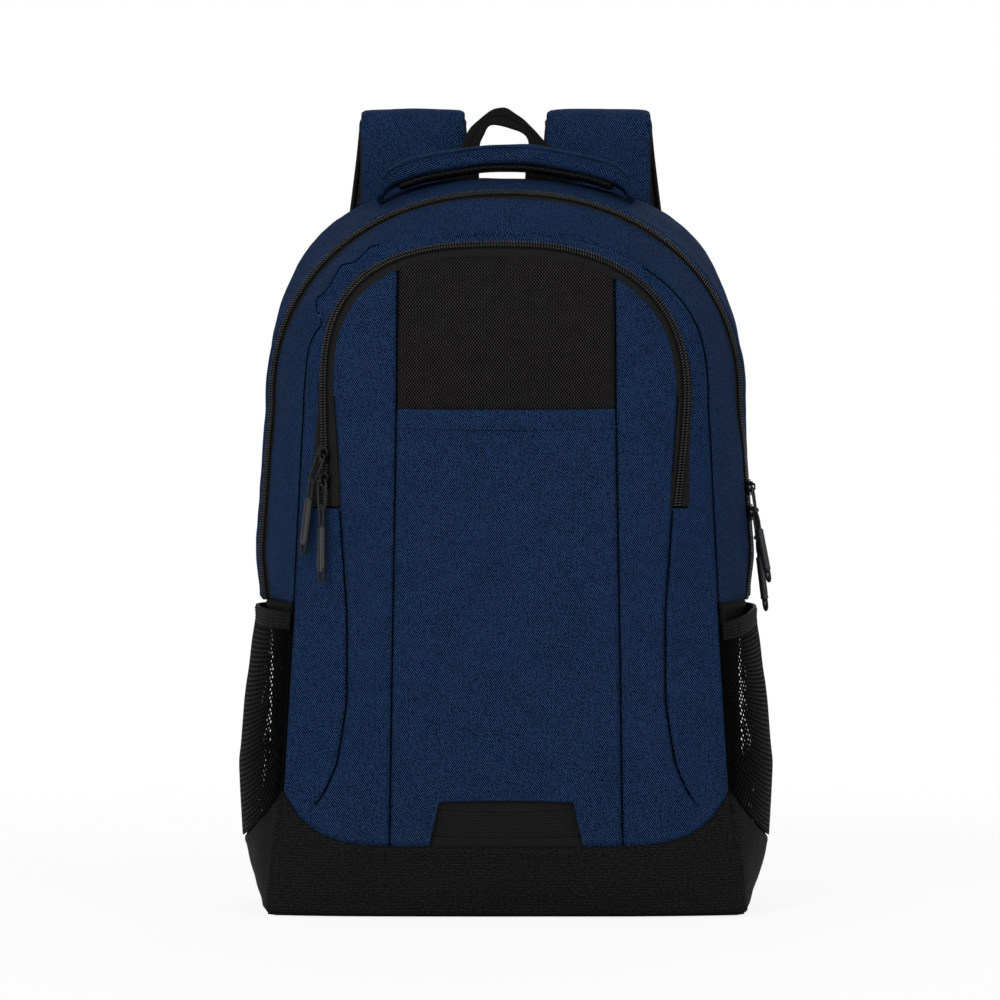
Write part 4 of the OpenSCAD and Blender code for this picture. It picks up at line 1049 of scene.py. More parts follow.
class Growth:
    """A Geometry Nodes tree with named inputs, whose result becomes a plain mesh."""

    def __init__(self, name: str, sizes: dict[str, float]) -> None:
        """Starts a tree with a geometry, a material and number inputs."""
        self.tree = bpy.data.node_groups.new(name, "GeometryNodeTree")
        self.sizes = sizes
        face = self.tree.interface
        face.new_socket("Geometry", in_out="INPUT", socket_type="NodeSocketGeometry")
        face.new_socket("Finish", in_out="INPUT", socket_type="NodeSocketMaterial")
        for key, value in sizes.items():
            face.new_socket(key, in_out="INPUT", socket_type="NodeSocketFloat").default_value = value
        face.new_socket("Geometry", in_out="OUTPUT", socket_type="NodeSocketGeometry")
        self.size = add_node(self.tree, "NodeGroupInput").outputs
        self.end = add_node(self.tree, "NodeGroupOutput")

    def node(self, kind: str, inputs: dict | None = None, output: int = 0, **settings: object) -> Socket:
        """Adds a node, and gives its output of a number."""
        return add_node(self.tree, kind, inputs, **settings).outputs[output]

    def number(self, operation: str, *values: Socket | float) -> Socket:
        """A number from a Math node."""
        return self.node("ShaderNodeMath", dict(enumerate(values)), operation=operation)

    def vector(self, operation: str, first: Socket, second: Socket) -> Socket:
        """A vector from two vectors, or from a vector and its scale."""
        key = "Scale" if operation == "SCALE" else 1
        return self.node("ShaderNodeVectorMath", {0: first, key: second}, operation=operation)

    def close(self, geometry: Socket) -> None:
        """Realizes the result, sets its finish and ends the tree."""
        real = self.node("GeometryNodeRealizeInstances", {0: geometry})
        smooth = self.node("GeometryNodeSetShadeSmooth", {0: real})
        dressed = self.node("GeometryNodeSetMaterial", {"Geometry": smooth, "Material": self.size["Finish"]})
        self.tree.links.new(dressed, self.end.inputs[0])

    def grow(self, made: bpy.types.Object, finish: Finish, **sizes: float) -> bpy.types.Object:
        """Runs the tree on an object and keeps the result as its mesh."""
        modifier = made.modifiers.new("growth", "NODES")
        modifier.node_group = self.tree
        names = {item.name: item.identifier for item in self.tree.interface.items_tree
                 if item.in_out == "INPUT"}
        modifier[names["Finish"]] = WARDROBE.get(finish)
        for key, value in {**self.sizes, **sizes}.items():
            modifier[names[key]] = float(value)
        bpy.context.view_layer.update()
        mesh = evaluated(made)
        made.modifiers.clear()
        made.data = mesh
        if not mesh.materials:
            mesh.materials.append(WARDROBE.get(finish))
        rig.slot(made, finish.value.slot)
        return made


class Row(Growth):
    """Small rounded bodies at points that know the directions along and up: stitches and teeth."""

    def __init__(self) -> None:
        """Builds the tree. Sizes are metres and the turn is in radians."""
        super().__init__("row_of_bodies", {"Length": 0.002, "Width": 0.0006, "Height": 0.0005, "Turn": 0.0,
                                           "Wander": 0.0})
        ahead, up = (self.node("GeometryNodeInputNamedAttribute", {"Name": name}, data_type="FLOAT_VECTOR")
                     for name in ("ahead", "up"))
        across = self.vector("CROSS_PRODUCT", up, ahead)
        wander = self.node("FunctionNodeRandomValue", {2: -1.0, 3: 1.0, "Seed": 4}, 1, data_type="FLOAT")
        turn = self.number("ADD", self.size["Turn"], self.number("MULTIPLY", wander, self.size["Wander"]))
        long_way = self.vector("ADD", self.vector("SCALE", ahead, self.number("COSINE", turn)),
                               self.vector("SCALE", across, self.number("SINE", turn)))
        rotation = self.node("FunctionNodeAxesToRotation", {0: up, 1: long_way}, primary_axis="Z",
                             secondary_axis="X")
        body = self.node("GeometryNodeMeshUVSphere", {"Segments": 7, "Rings": 4, "Radius": 0.5})
        scale = self.node("ShaderNodeCombineXYZ",
                          {k: self.size[key] for k, key in enumerate(("Length", "Width", "Height"))})
        self.close(self.node("GeometryNodeInstanceOnPoints", {"Points": self.size["Geometry"], "Instance": body,
                                                              "Rotation": rotation, "Scale": scale}))

    def lay(self, name: str, points: Array, up: Array, pitch: float, finish: Finish,
            **sizes: float) -> bpy.types.Object:
        """Lays bodies along a path.

        Args:
            name: The piece's name.
            points: The path's points, in millimetres.
            up: The direction out of the surface at each point.
            pitch: The distance from body to body.
            finish: Their finish.
            sizes: The tree's inputs, in millimetres, and the turn in radians.

        Returns:
            The object.
        """
        place, out = even(points, pitch, np.broadcast_to(up, points.shape))
        ahead, _, out = path_frames(place, out)
        place, out, ahead = ((v[1:] + v[:-1]) / 2 for v in (place, out, ahead))
        made = add_object(name, place, [], finish)
        for key, value in (("ahead", ahead), ("up", out)):
            attribute = made.data.attributes.new(key, "FLOAT_VECTOR", "POINT")
            attribute.data.foreach_set("vector", unit(value).astype(np.float32).ravel())
        scaled = {key: value if key in ("Turn", "Wander") else value * MM for key, value in sizes.items()}
        return self.grow(made, finish, **scaled)


class Honeycomb(Growth):
    """A knitted net: each cell of an even grid of triangles becomes a six-sided hole."""

    def __init__(self) -> None:
        """Builds the tree. The hole is the share of each cell, and the yarn is in metres."""
        super().__init__("honeycomb_net", {"Hole": 0.66, "Yarn": 0.0007})
        cells = self.node("GeometryNodeDualMesh", {0: self.size["Geometry"]})
        inset = add_node(self.tree, "GeometryNodeExtrudeMesh",
                         {"Mesh": cells, "Offset Scale": 0.0, "Individual": True}, mode="FACES").outputs
        holes = self.node("GeometryNodeScaleElements", {"Geometry": inset[0], "Selection": inset[1],
                                                        "Scale": self.size["Hole"]}, domain="FACE")
        net = self.node("GeometryNodeDeleteGeometry", {"Geometry": holes, "Selection": inset[1]}, domain="FACE")
        raised = self.node("GeometryNodeExtrudeMesh", {"Mesh": net, "Offset Scale": self.size["Yarn"],
                                                       "Individual": False}, mode="FACES")
        both = add_node(self.tree, "GeometryNodeJoinGeometry")
        for part in (raised, self.node("GeometryNodeFlipFaces", {0: net})):
            self.tree.links.new(part, both.inputs[0])
        self.close(self.node("GeometryNodeMergeByDistance", {0: both.outputs[0], "Distance": 0.00002}))


ROW, NET = Row(), Honeycomb()


# ---------------------------------------------------------------------------------------------
# The bag's form
# ---------------------------------------------------------------------------------------------
ARCH_SAMPLES = 721
FRONTWARD = np.array([0.0, -1.0, 0.1])
FINE_STITCH = {"Length": 2.2, "Width": 0.5, "Height": 0.45}


@dataclass(frozen=True)
class BagForm:
    """The outer surface of the bag: its front, its walls and the places of its zips."""

    fold_z: float = 325.0
    back_y: float = 81.0
    front_y0: float = -81.0
    zip_y: float = 4.0
    hem_z: float = 316.0
    zip_foot_z: float = 196.0
    pocket_foot_z: float = 256.0
    boot_z: float = 45.0
    boot_rise: float = 33.0
    boot_y: float = -66.0
    centre_half: float = 68.0
    rear_arch: tuple = (151.0, 143.0, 3.0)
    zip_arch: tuple = (150.0, 132.0, 2.15)
    seam_arch: tuple = (127.0, 104.0, 2.5)
    pocket_arch: tuple = (114.0, 95.8, 2.85, 112.4, 2.35)
    flap_inset: tuple[float, float] = (5.6, 6.4)
    seam_profile: Profile = ((0, 150), (24, 146), (70, 140), (196, 133), (325, 127))
    side_profile: Profile = ((0, 151), (7, 154), (46, 158), (100, 151), (150, 148), (184, 149.5), (196, 154),
                             (226, 157), (325, 150))
    rear_profile: Profile = ((0, 146), (20, 150), (60, 152), (260, 152), (325, 151))
    seam_setback: Profile = ((0, 11), (196, 19), (325, 26))
    swell: Profile = ((0, -1), (15, 5), (100, 11), (200, 11), (325, 6))
    princess: Profile = ((40, 140), (60, 125), (78, 113), (96, 105), (134, 99), (190, 99), (256, 103.8),
                         (280, 104.8), (302, 106.2), (325, 108.0))
    tilts: tuple[float, float] = (math.radians(16), math.radians(33))
    tilt_z: float = 285.0
    tilt_rise: float = 45.0
    pocket_tilts: tuple[float, float] = (33.0, 44.0)
    seam_wave: Profile = ((0.0, 0.0), (0.08, -0.8), (0.175, -0.7), (0.26, -0.8), (0.322, -2.5), (0.386, -4.6),
                          (0.418, -1.4), (0.461, 3.6), (0.511, 6.2), (0.561, 4.4), (0.621, 4.0), (0.714, 6.7),
                          (0.763, 8.6), (0.798, 5.4), (0.84, 4.5), (0.904, 5.8), (0.955, 7.7), (1.01, 5.8),
                          (1.115, 3.3), (1.319, -0.6), (1.45, -1.6), (1.8, -1.0), (2.05, -2.6), (2.3, -3.6),
                          (2.5, -2.6), (2.8, -0.5), (3.1416, 0.0))

    def seam_x(self, z: Array | float) -> Array:
        """Half width at the front seam."""
        return settled(z, self.seam_profile)

    def side_x(self, z: Array | float) -> Array:
        """Half width at the main zip."""
        return settled(z, self.side_profile, 7.0)

    def rear_x(self, z: Array | float) -> Array:
        """Half width at the back."""
        return settled(z, self.rear_profile)

    def princess_x(self, z: Array | float) -> Array:
        """Half width at the curved seams of the front."""
        return follow(z, self.princess, 9.0)

    def centre_x(self, z: Array | float) -> Array:
        """Half width of the front's middle panels."""
        return self.centre_half + 5 * np.clip(1 - np.asarray(z, float) / self.fold_z, 0, 1)

    def boot_top(self, x: Array) -> Array:
        """The height of the base's upper edge across the front."""
        return self.boot_z + self.boot_rise * (np.abs(x) / float(self.seam_x(self.boot_z + self.boot_rise))) ** 8

    def boot_edge(self, y: Array) -> Array:
        """The height of the base's upper edge at the side."""
        return self.boot_z + self.boot_rise * ((self.back_y - y) / (self.back_y - self.boot_y)) ** 5

    def seam_y(self, z: Array | float) -> Array:
        """Where the front seam lies."""
        z = np.asarray(z, float)
        above = 26 + 17 * ((np.maximum(z, self.fold_z) - self.fold_z) / self.seam_arch[1]) ** 2
        return self.front_y0 + np.where(z < self.fold_z, settled(z, self.seam_setback), above)

    def front_y(self, x: Array, z: Array) -> Array:
        """The front's outer surface, which swells in the middle."""
        x, z = np.asarray(x, float), np.asarray(z, float)
        n = self.seam_arch[2]
        low = np.minimum(z, self.fold_z)
        u = (np.abs(x) / self.seam_x(low)) ** n
        w = (np.maximum(0, z - self.fold_z) / self.seam_arch[1]) ** n
        f = np.minimum(1, (u + w) ** (1 / n))
        top = np.where(u + w > 0, w / np.maximum(u + w, TINY), 0)
        edge_z = np.where(z > self.fold_z, self.fold_z + (z - self.fold_z) / np.maximum(f, 0.001), z)
        edge_y = self.seam_y(np.minimum(edge_z, self.fold_z + self.seam_arch[1]))
        crown = self.front_y0 - settled(low, self.swell)
        return mix(edge_y, crown, 1 - f ** mix(4.0, 2.4, top))

    def front(self, x: Array, z: Array, depth: float | Array = 0.0) -> Array:
        """Points of the front at a depth behind its surface."""
        x, z = np.broadcast_arrays(np.asarray(x, float), np.asarray(z, float))
        return np.stack([x, self.front_y(x, z) + depth, z], -1)

    def arch(self, outline: tuple, t: Array) -> Array:
        """Points [x, z] of an arch at angles t from 0 at the left foot to pi at the right foot."""
        c, s = np.cos(t), np.maximum(np.sin(t), 0)
        half, n = self.halves(outline, c > 0)
        return np.stack([-half * np.sign(c) * np.abs(c) ** (2 / n), self.fold_z + outline[1] * s ** (2 / n)], -1)

    @staticmethod
    def halves(outline: tuple, left: Array) -> tuple[Array | float, Array | float]:
        """The half width and the power of an arch at each place, which may differ on the left and the right."""
        if len(outline) == 3:
            return outline[0], outline[2]
        return np.where(left, outline[0], outline[3]), np.where(left, outline[2], outline[4])

    def arch_normal(self, outline: tuple, t: Array) -> Array:
        """Outward normals [x, z] of an arch."""
        c, s = np.cos(t), np.maximum(np.sin(t), 0)
        half, n = self.halves(outline, c > 0)
        return unit(np.stack([-np.sign(c) * np.abs(c) ** (2 - 2 / n) / half, s ** (2 - 2 / n) / outline[1]], -1))

    def even_angles(self, outline: tuple, count: int) -> tuple[Array, Array]:
        """Angles at even distances along an arch, and those distances."""
        t = np.linspace(0, math.pi, ARCH_SAMPLES)
        length = run_of(self.arch(outline, t))
        places = np.linspace(0, length[-1], count + 1)
        return np.interp(places, length, t), places

    def seam_line(self, t: Array) -> Array:
        """Points [x, z] of the front seam over the arch, with the waves that the sewing leaves in it."""
        wave = np.interp(t, *zip(*self.seam_wave))
        calm = np.stack([np.interp(t + d, *zip(*self.seam_wave)) for d in (-0.018, -0.009, 0.009, 0.018)])
        return (self.arch(self.seam_arch, t)
                + self.arch_normal(self.seam_arch, t) * ((wave + calm.sum(0)) / 5)[..., None])

    def flap_top(self, x: Array) -> Array:
        """The height of the flap's cloth over x."""
        half, n = self.halves(self.pocket_arch, np.asarray(x) < 0)
        wide, tall = self.flap_inset
        return self.fold_z + (self.pocket_arch[1] - tall) * np.maximum(
            0, 1 - (np.abs(x) / (half - wide)) ** n) ** (1 / n)


FORM = BagForm()


@dataclass
class Stations:
    """Places around the bag's wall, from the left side over the top to the right side."""

    seam: Array
    mid: Array
    rear: Array
    seam_y: Array
    normal: Array
    reach: Array

    @staticmethod
    def legs(side: int, heights: Array) -> "Stations":
        """Stations at heights of one side, in the order given."""
        z = np.asarray(heights, float)

        def at(x: Array) -> Array:
            """Points [x, z] on the side."""
            return np.stack([side * x, z], -1)

        normal = np.stack([np.full_like(z, side), np.zeros_like(z)], -1)
        return Stations(at(FORM.seam_x(z)), at(FORM.side_x(z)), at(FORM.rear_x(z)), FORM.seam_y(z), normal, z)

    @staticmethod
    def over(count: int) -> "Stations":
        """Stations over the arch, at even distances along the zip."""
        t, reach = FORM.even_angles(FORM.zip_arch, count)
        seam = FORM.seam_line(t)
        return Stations(seam, FORM.arch(FORM.zip_arch, t), FORM.arch(FORM.rear_arch, t),
                        FORM.seam_y(seam[:, 1]), FORM.arch_normal(FORM.zip_arch, t), FORM.fold_z + reach)

    @staticmethod
    def joined(*parts: "Stations") -> "Stations":
        """Several runs of stations one after another, without repeated places."""
        fields = []
        for key in ("seam", "mid", "rear", "seam_y", "normal"):
            fields.append(np.concatenate([getattr(p, key)[(0 if k == 0 else 1):] for k, p in enumerate(parts)]))
        return Stations(*fields, run_of(fields[1]))

    @staticmethod
    def whole(low: float, step: float = 3.0) -> "Stations":
        """Stations from a height on the left, over the top, to the same height on the right."""
        heights = np.linspace(low, FORM.fold_z, max(2, int((FORM.fold_z - low) / step)) + 1)
        return Stations.joined(Stations.legs(-1, heights), Stations.over(int(520 / step)),
                               Stations.legs(1, heights[::-1]))

    @staticmethod
    def side_points(side: int, y: Array, z: Array, out: Array) -> Array:
        """Points of a side's wall at any y and z, at heights above it."""
        wall = Stations.legs(side, z.ravel())
        return wall.wall_at(y.ravel()[:, None], out.ravel()[:, None])[:, 0].reshape(z.shape + (3,))

    def wall(self, share: Array, start: Array, stop: Array, out: float | Array = 0.0) -> Array:
        """Points of the wall.

        Args:
            share: Places from 0 at the start to 1 at the stop.
            start: The y of the start at each station.
            stop: The y of the stop at each station.
            out: The height above the wall, one number or one for each station and share.

        Returns:
            The points, with stations along the first axis.
        """
        return self.wall_at(mix(start[:, None], stop[:, None], share[None, :]), out)

    def wall_at(self, y: Array, out: float | Array = 0.0) -> Array:
        """Points of the wall at given y values, one row for each station."""
        deep = (FORM.back_y - self.seam_y)[:, None]
        v = (y - self.seam_y[:, None]) / deep
        mid = (FORM.zip_y - self.seam_y[:, None]) / deep
        bow = v * (1 - v) / (mid * (1 - mid))
        chord = mix(self.seam, self.rear, mid)
        p = (mix(self.seam[:, None], self.rear[:, None], v[..., None])
             + (self.mid - chord)[:, None] * bow[..., None])
        p = p + self.normal[:, None] * np.broadcast_to(out, v.shape)[..., None]
        return np.stack([p[..., 0], y, p[..., 1]], -1)

    def zip_point(self, side: int, u: float, h: float) -> Array:
        """Points of the main zip's section: a distance from its middle and a height above its tape."""
        turned = np.where(self.mid[:, 0] > 0, smoothstep((self.mid[:, 1] - FORM.tilt_z) / FORM.tilt_rise), 1.0)
        tilt = mix(*FORM.tilts, turned)
        c, s = np.cos(tilt), np.sin(tilt)
        p = self.mid + self.normal * (h * c + side * u * s)[:, None]
        return np.stack([p[:, 0], FORM.zip_y + side * u * c - h * s, p[:, 1]], -1)


@dataclass
class PocketLine:
    """The middle line of the front pocket's zip, with the directions of its section."""

    middle: Array
    normal: Array

    @staticmethod
    def legs(side: int, z: Array) -> "PocketLine":
        """A straight leg at given heights."""
        foot, fold = FORM.pocket_foot_z, FORM.fold_z
        half, lean = (FORM.pocket_arch[0], 2.0) if side < 0 else (FORM.pocket_arch[3], 6.4)
        t = (z - foot) / (fold - foot)
        y = mix(float(FORM.front_y(half - lean, foot)), float(FORM.front_y(half, fold)), t)
        middle = np.stack([side * (half - lean * np.maximum(1 - t, 0) ** 1.3), y, z], -1)
        return PocketLine(middle, np.tile([float(side), 0.0], (len(z), 1)))

    @staticmethod
    def over(count: int) -> "PocketLine":
        """The arch, at even distances."""
        t, _ = FORM.even_angles(FORM.pocket_arch, count)
        p = FORM.arch(FORM.pocket_arch, t)
        return PocketLine(FORM.front(p[:, 0], p[:, 1]), FORM.arch_normal(FORM.pocket_arch, t))

    def zip_point(self, side: int, u: float, h: float) -> Array:
        """Points of the pocket zip's section: a distance from its middle and a height above its tape."""
        rise = np.clip((self.middle[:, 2] - FORM.fold_z) / FORM.pocket_arch[1], 0, 1)
        a = np.radians(mix(*FORM.pocket_tilts, rise))
        c, s = np.cos(a), np.sin(a)
        in_plane = side * u * c + h * s
        return np.stack([self.middle[:, 0] + self.normal[:, 0] * in_plane,
                         self.middle[:, 1] + side * u * s - h * c,
                         self.middle[:, 2] + self.normal[:, 1] * in_plane], -1)


LOW_FOLD, MID_FOLD, HIGH_FOLD = ((0, -0.0873, z) for z in (0.270, 0.325, 0.352))


def lower_fold(made: bpy.types.Object) -> bpy.types.Object:
    """Lets a piece bend where the opening front folds down."""
    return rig.blend(made, "bag", "main_front", LOW_FOLD, MID_FOLD)


def flap_fold(made: bpy.types.Object) -> bpy.types.Object:
    """Lets a piece bend where the pocket's flap folds down."""
    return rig.blend(made, "main_front", "pocket_flap", MID_FOLD, HIGH_FOLD)


S, H, J, F = Joining.SEAM, Joining.HEM, Joining.JOINED, Joining.FREE


# ---------------------------------------------------------------------------------------------
# Front
# ---------------------------------------------------------------------------------------------
@dataclass
class FrontBody:
    """The sewn panels of the front: slip pocket, side panels, flap and surround."""

    cloth: float = 1.6
    seam_gap: float = 0.15
    weave_gap: float = 0.2
    boot_gap: float = 0.3
    window_top: float = 73.0
    window_low: float = 45.5
    window_half_top: float = 41.5
    window_half_low: float = 48.0
    window_bow: float = 1.1
    hem_sag: float = 1.3
    hem_low: float = 10.4
    creases: tuple = (((-129.5, 133), (-118, 113), (-110.5, 94), 1.9, 4.0),
                      ((-132, 104), (-121, 92), (-113, 82), 1.6, 3.6),
                      ((-127, 160), (-119, 146), (-113, 131), 1.2, 4.8),
                      ((121, 112), (125, 92), (122, 74), 1.2, 4.0),
                      ((-80, 96), (-95, 76), (-110, 62), 1.0, 5.0))

    def _panel(self, name: str, x: Array, z: Array, edges: tuple[Joining, ...], creases: float,
               finish: Finish = Finish.NAVY, **more: object) -> bpy.types.Object:
        """A lined panel on the front's surface."""
        return Cloth(name, FORM.front(x, z), finish, edges, self.cloth, spread(x, z), creases=creases,
                     lining=Finish.LINING, **more).build()

    def _sag(self, x: Array) -> Array:
        """How far the slip pocket's opening hangs down."""
        return self.hem_sag * np.cos(np.clip(x / FORM.centre_half, -1, 1) * math.pi / 2)

    def window_half(self, z: Array) -> Array:
        """Half width of the window in the slip pocket."""
        t = np.clip((z - self.window_low) / (self.window_top - self.window_low), -0.2, 1)
        return mix(self.window_half_low, self.window_half_top, t)

    def slip_pocket(self) -> bpy.types.Object:
        """The open-topped pocket, cut out at its foot for the lash strap."""
        half_cols, mid_cols = ladder(30, 2.6), np.linspace(-1, 1, 33)
        low_rows, high_rows = ladder(27.5, 2.2), ladder(243, 2.6)
        z_low = self.window_low - 0.2
        z = np.concatenate([mix(z_low, self.window_top, low_rows),
                            mix(self.window_top, FORM.hem_z, high_rows)[1:]])[:, None]
        half = self.window_half(z)
        left = mix(-(FORM.centre_x(z) - self.seam_gap), -half, half_cols[None, :])
        x = np.concatenate([left, mid_cols[None, 1:-1] * half, -left[:, ::-1]], 1)
        over_boot = np.maximum(0, FORM.boot_top(x) + self.boot_gap - z_low)
        z = z + np.clip(1 - (z - z_low) / 120, 0, 1) ** 2 * over_boot
        z = z + self.window_bow * bell(z, self.window_top, 9) * np.clip(1 - (x / self.window_half_top) ** 2, 0, 1)
        keep = np.ones((x.shape[0] - 1, x.shape[1] - 1), bool)
        first = len(half_cols) - 1
        keep[:len(low_rows) - 1, first:first + len(mid_cols) - 1] = False
        beside = np.abs(np.abs(x) - self.window_half(z))
        above = np.hypot(np.maximum(0, np.abs(x) - self.window_half_top), np.maximum(0, z - self.window_top))
        near = np.where(z < self.window_top, beside, above)
        inside = (z < self.window_top + 8) & (np.abs(x) < self.window_half(z) + 8)
        rim = np.where(inside, 0.55 * bell(near, 1.2, 1.3), 0)
        made = self._panel("slip_pocket_cloth", x, z, (S, F, S, S), 0.8, folds=lambda _: rim, keep=keep)
        return lower_fold(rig.replaces(made, "slip_pocket"))

    def slip_hem(self) -> bpy.types.Object:
        """The folded band along the slip pocket's opening."""
        z = mix(FORM.hem_z - 11.6, FORM.hem_z + 0.6, ladder(12, 1.0))[:, None]
        x = (FORM.centre_x(z) - 0.4) * np.linspace(-1, 1, 70)[None, :]
        grid = FORM.front(x, z - self._sag(x), -1.1)
        return lower_fold(Cloth("slip_pocket_hem", grid, Finish.NAVY, (F, F, S, S), 1.0, spread(x, z + 40),
                                creases=0.25).build())

    def weave_lower(self) -> bpy.types.Object:
        """The weave that shows just above the slip pocket and goes on down inside it."""
        z = mix(200.0, FORM.fold_z, ladder(125, 4.0))[:, None]
        x = (FORM.centre_x(z) - self.weave_gap) * np.linspace(-1, 1, 60)[None, :]
        behind = 2.6 * smoothstep((FORM.hem_z + 2 - z) / 5)
        made = Cloth("slip_pocket_inner_weave", FORM.front(x, z, behind), Finish.WEAVE, (F, J, S, S), 1.2,
                     spread(x, z), creases=0.4).build()
        return lower_fold(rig.replaces(made, "slip_pocket_back"))

    def front_panel(self, side: int) -> bpy.types.Object:
        """The narrow panel between the slip pocket and the curved seam."""
        v, h = ladder(280, 2.8)[:, None], ladder(34, 2.4)[None, :]
        z = mix(40.0, FORM.fold_z, v)
        for _ in range(3):
            x = mix(FORM.centre_x(z) + self.seam_gap, FORM.princess_x(z) - self.seam_gap, h)
            z = mix(FORM.boot_top(x) + self.boot_gap, FORM.fold_z, v)
        made = self._panel(f"front_panel_{side_name(side)}_cloth", side * x, z, (S, J, S, S), 0.9,
                           folds=self._soft_folds)
        return lower_fold(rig.replaces(made, f"front_panel_{side_name(side)}"))

    @staticmethod
    def leg_edge(side: int, z: Array) -> Array:
        """Half width where the outer cloth begins beside the pocket zip's leg."""
        foot, more = (115.6, 4.6) if side < 0 else (114.6, -0.6)
        return foot + more * smoothstep((338 - z) / 60)

    @staticmethod
    def _soft_folds(g: Array) -> Array:
        """Diagonal folds where the lower corners are full."""
        x, z = g[..., 0], g[..., 2]
        total = np.zeros_like(x)
        for start, middle, stop, deep, wide in FrontBody.creases:
            near, share = np.full_like(x, np.inf), np.zeros_like(x)
            for part, (a, b) in enumerate(((start, middle), (middle, stop))):
                way = np.subtract(b, a)
                px, pz = x - a[0], z - a[1]
                s = np.clip((px * way[0] + pz * way[1]) / float(way @ way), 0, 1)
                here = np.hypot(px - s * way[0], pz - s * way[1])
                share = np.where(here < near, (s + part) / 2, share)
                near = np.minimum(near, here)
            valley = 0.3 * bell(near, 2.3 * wide, wide) - bell(near, 0.0, wide)
            total += deep * np.clip(4 * share * (1 - share), 0, 1) ** 0.6 * valley
        return total

    def side_panels(self, side: int) -> bpy.types.Object:
        """The panel outside the curved seam, up to the fold, beside the pocket zip's leg."""
        v, h = ladder(235, 1.3)[:, None], ladder(38, 1.2)[None, :]
        z = mix(60.0, FORM.pocket_foot_z - 1, v)
        for _ in range(4):
            x = mix(FORM.princess_x(z) + self.seam_gap, FORM.seam_x(z), h)
            z = mix(FORM.boot_top(x) + self.boot_gap, FORM.pocket_foot_z - 1, v)
        low = self._panel("panel", side * x, z, (S, F, S, S), 1.0, folds=self._soft_folds)
        z = mix(FORM.pocket_foot_z - 1.6, FORM.fold_z, ladder(70, 2.5, (False, False)))[:, None]
        x = mix(self.leg_edge(side, z), FORM.seam_x(z), ladder(12, 1.5)[None, :])
        high = self._panel("panel", side * x, z, (F, J, F, S), 0.6)
        made = join(f"front_side_{side_name(side)}_cloth", [low, high])
        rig.slot(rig.replaces(made, "front_side_panels"), "navy_fabric")
        return lower_fold(made)

    def weave_patch(self) -> bpy.types.Object:
        """The flap's middle panel."""
        half = FORM.centre_half - self.weave_gap
        x = mix(-half, half, ladder(136, 2.6))[None, :]
        z = mix(FORM.fold_z, FORM.flap_top(x), ladder(90, 2.6, (False, True))[:, None])
        made = self._panel("flap_weave", x, z, (J, F, S, S), 0.7, Finish.WEAVE)
        return flap_fold(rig.replaces(made, "weave_panel"))

    def flap_side(self, side: int) -> bpy.types.Object:
        """The flap's side panel between the weave and the zip."""
        start = FORM.centre_half + self.weave_gap
        z_top = float(FORM.flap_top(np.array(side * start)))
        z = mix(FORM.fold_z, z_top, ladder(z_top - FORM.fold_z, 2.4, (False, True)))[:, None]
        half, n = FORM.halves(FORM.pocket_arch, side < 0)
        tall = FORM.pocket_arch[1] - FORM.flap_inset[1]
        edge = (half - FORM.flap_inset[0]) * np.maximum(0, 1 - ((z - FORM.fold_z) / tall) ** n) ** (1 / n)
        x = side * mix(start, np.maximum(edge, start + 0.4), ladder(42, 2.2)[None, :])
        made = self._panel(f"flap_side_{side_name(side)}_cloth", x, z, (J, F, S, F), 0.7)
        return flap_fold(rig.replaces(made, f"flap_side_{side_name(side)}"))

    def surround(self) -> bpy.types.Object:
        """The band between the pocket's zip and the front seam."""
        line = PocketLine.over(150)
        seam = FORM.seam_line(np.linspace(0, math.pi, ARCH_SAMPLES))
        inner = line.middle[:, [0, 2]] + line.normal * 2.0
        inner[:, 0] += np.sign(inner[:, 0]) * 0.9 * np.clip(1 - (inner[:, 1] - FORM.fold_z) / 16, 0, 1)
        angle = np.arctan2(seam[:, 1] - FORM.fold_z, -seam[:, 0])
        place = np.arctan2((inner[:, 1] - FORM.fold_z) * (FORM.seam_arch[1] / FORM.pocket_arch[1]) * 0.99,
                           -inner[:, 0])
        outer = spread(np.interp(place, angle, seam[:, 0]), np.interp(place, angle, seam[:, 1]))
        p = mix(inner[:, None], outer[:, None], ladder(13, 1.4)[None, :, None])
        made = self._panel("pocket_surround_cloth", p[..., 0], p[..., 1], (J, J, F, S), 0.6)
        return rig.ride(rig.replaces(made, "pocket_surround"), "main_front")

    def lash(self) -> bpy.types.Object:
        """The webbing and its two folded bands behind the window."""
        x, v = np.linspace(-51, 51, 60)[None, :], np.linspace(0, 1, 14)[:, None]
        bow = np.clip(x / 44, -1, 1) ** 2
        tall = mix(49.0, 69.0, v)
        runs = ((tall - 0.9 * (1 - bow) * v + 1.4 * bow * (1 - v), 2.7, Finish.WEBBING, 1.3, spread(tall, x), 0.2),
                (mix(68.6 - 2.4 * (1 - bow), 76.0, v), 2.0, Finish.BINDING, 0.6, spread(x, v * 6), 0.25),
                (mix(44.0, 50.2 + 0.9 * bow, v), 2.0, Finish.BINDING, 0.6, spread(x, v * 4), 0.25))
        pieces = [Cloth("run", FORM.front(x, z, behind), finish, (F, F, J, J), thick, uv, creases=creases).build()
                  for z, behind, finish, thick, uv, creases in runs]
        made = join("lash_strap_webbing", pieces)
        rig.slot(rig.replaces(made, "lash_strap"), "black_webbing")
        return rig.ride(made, "bag")

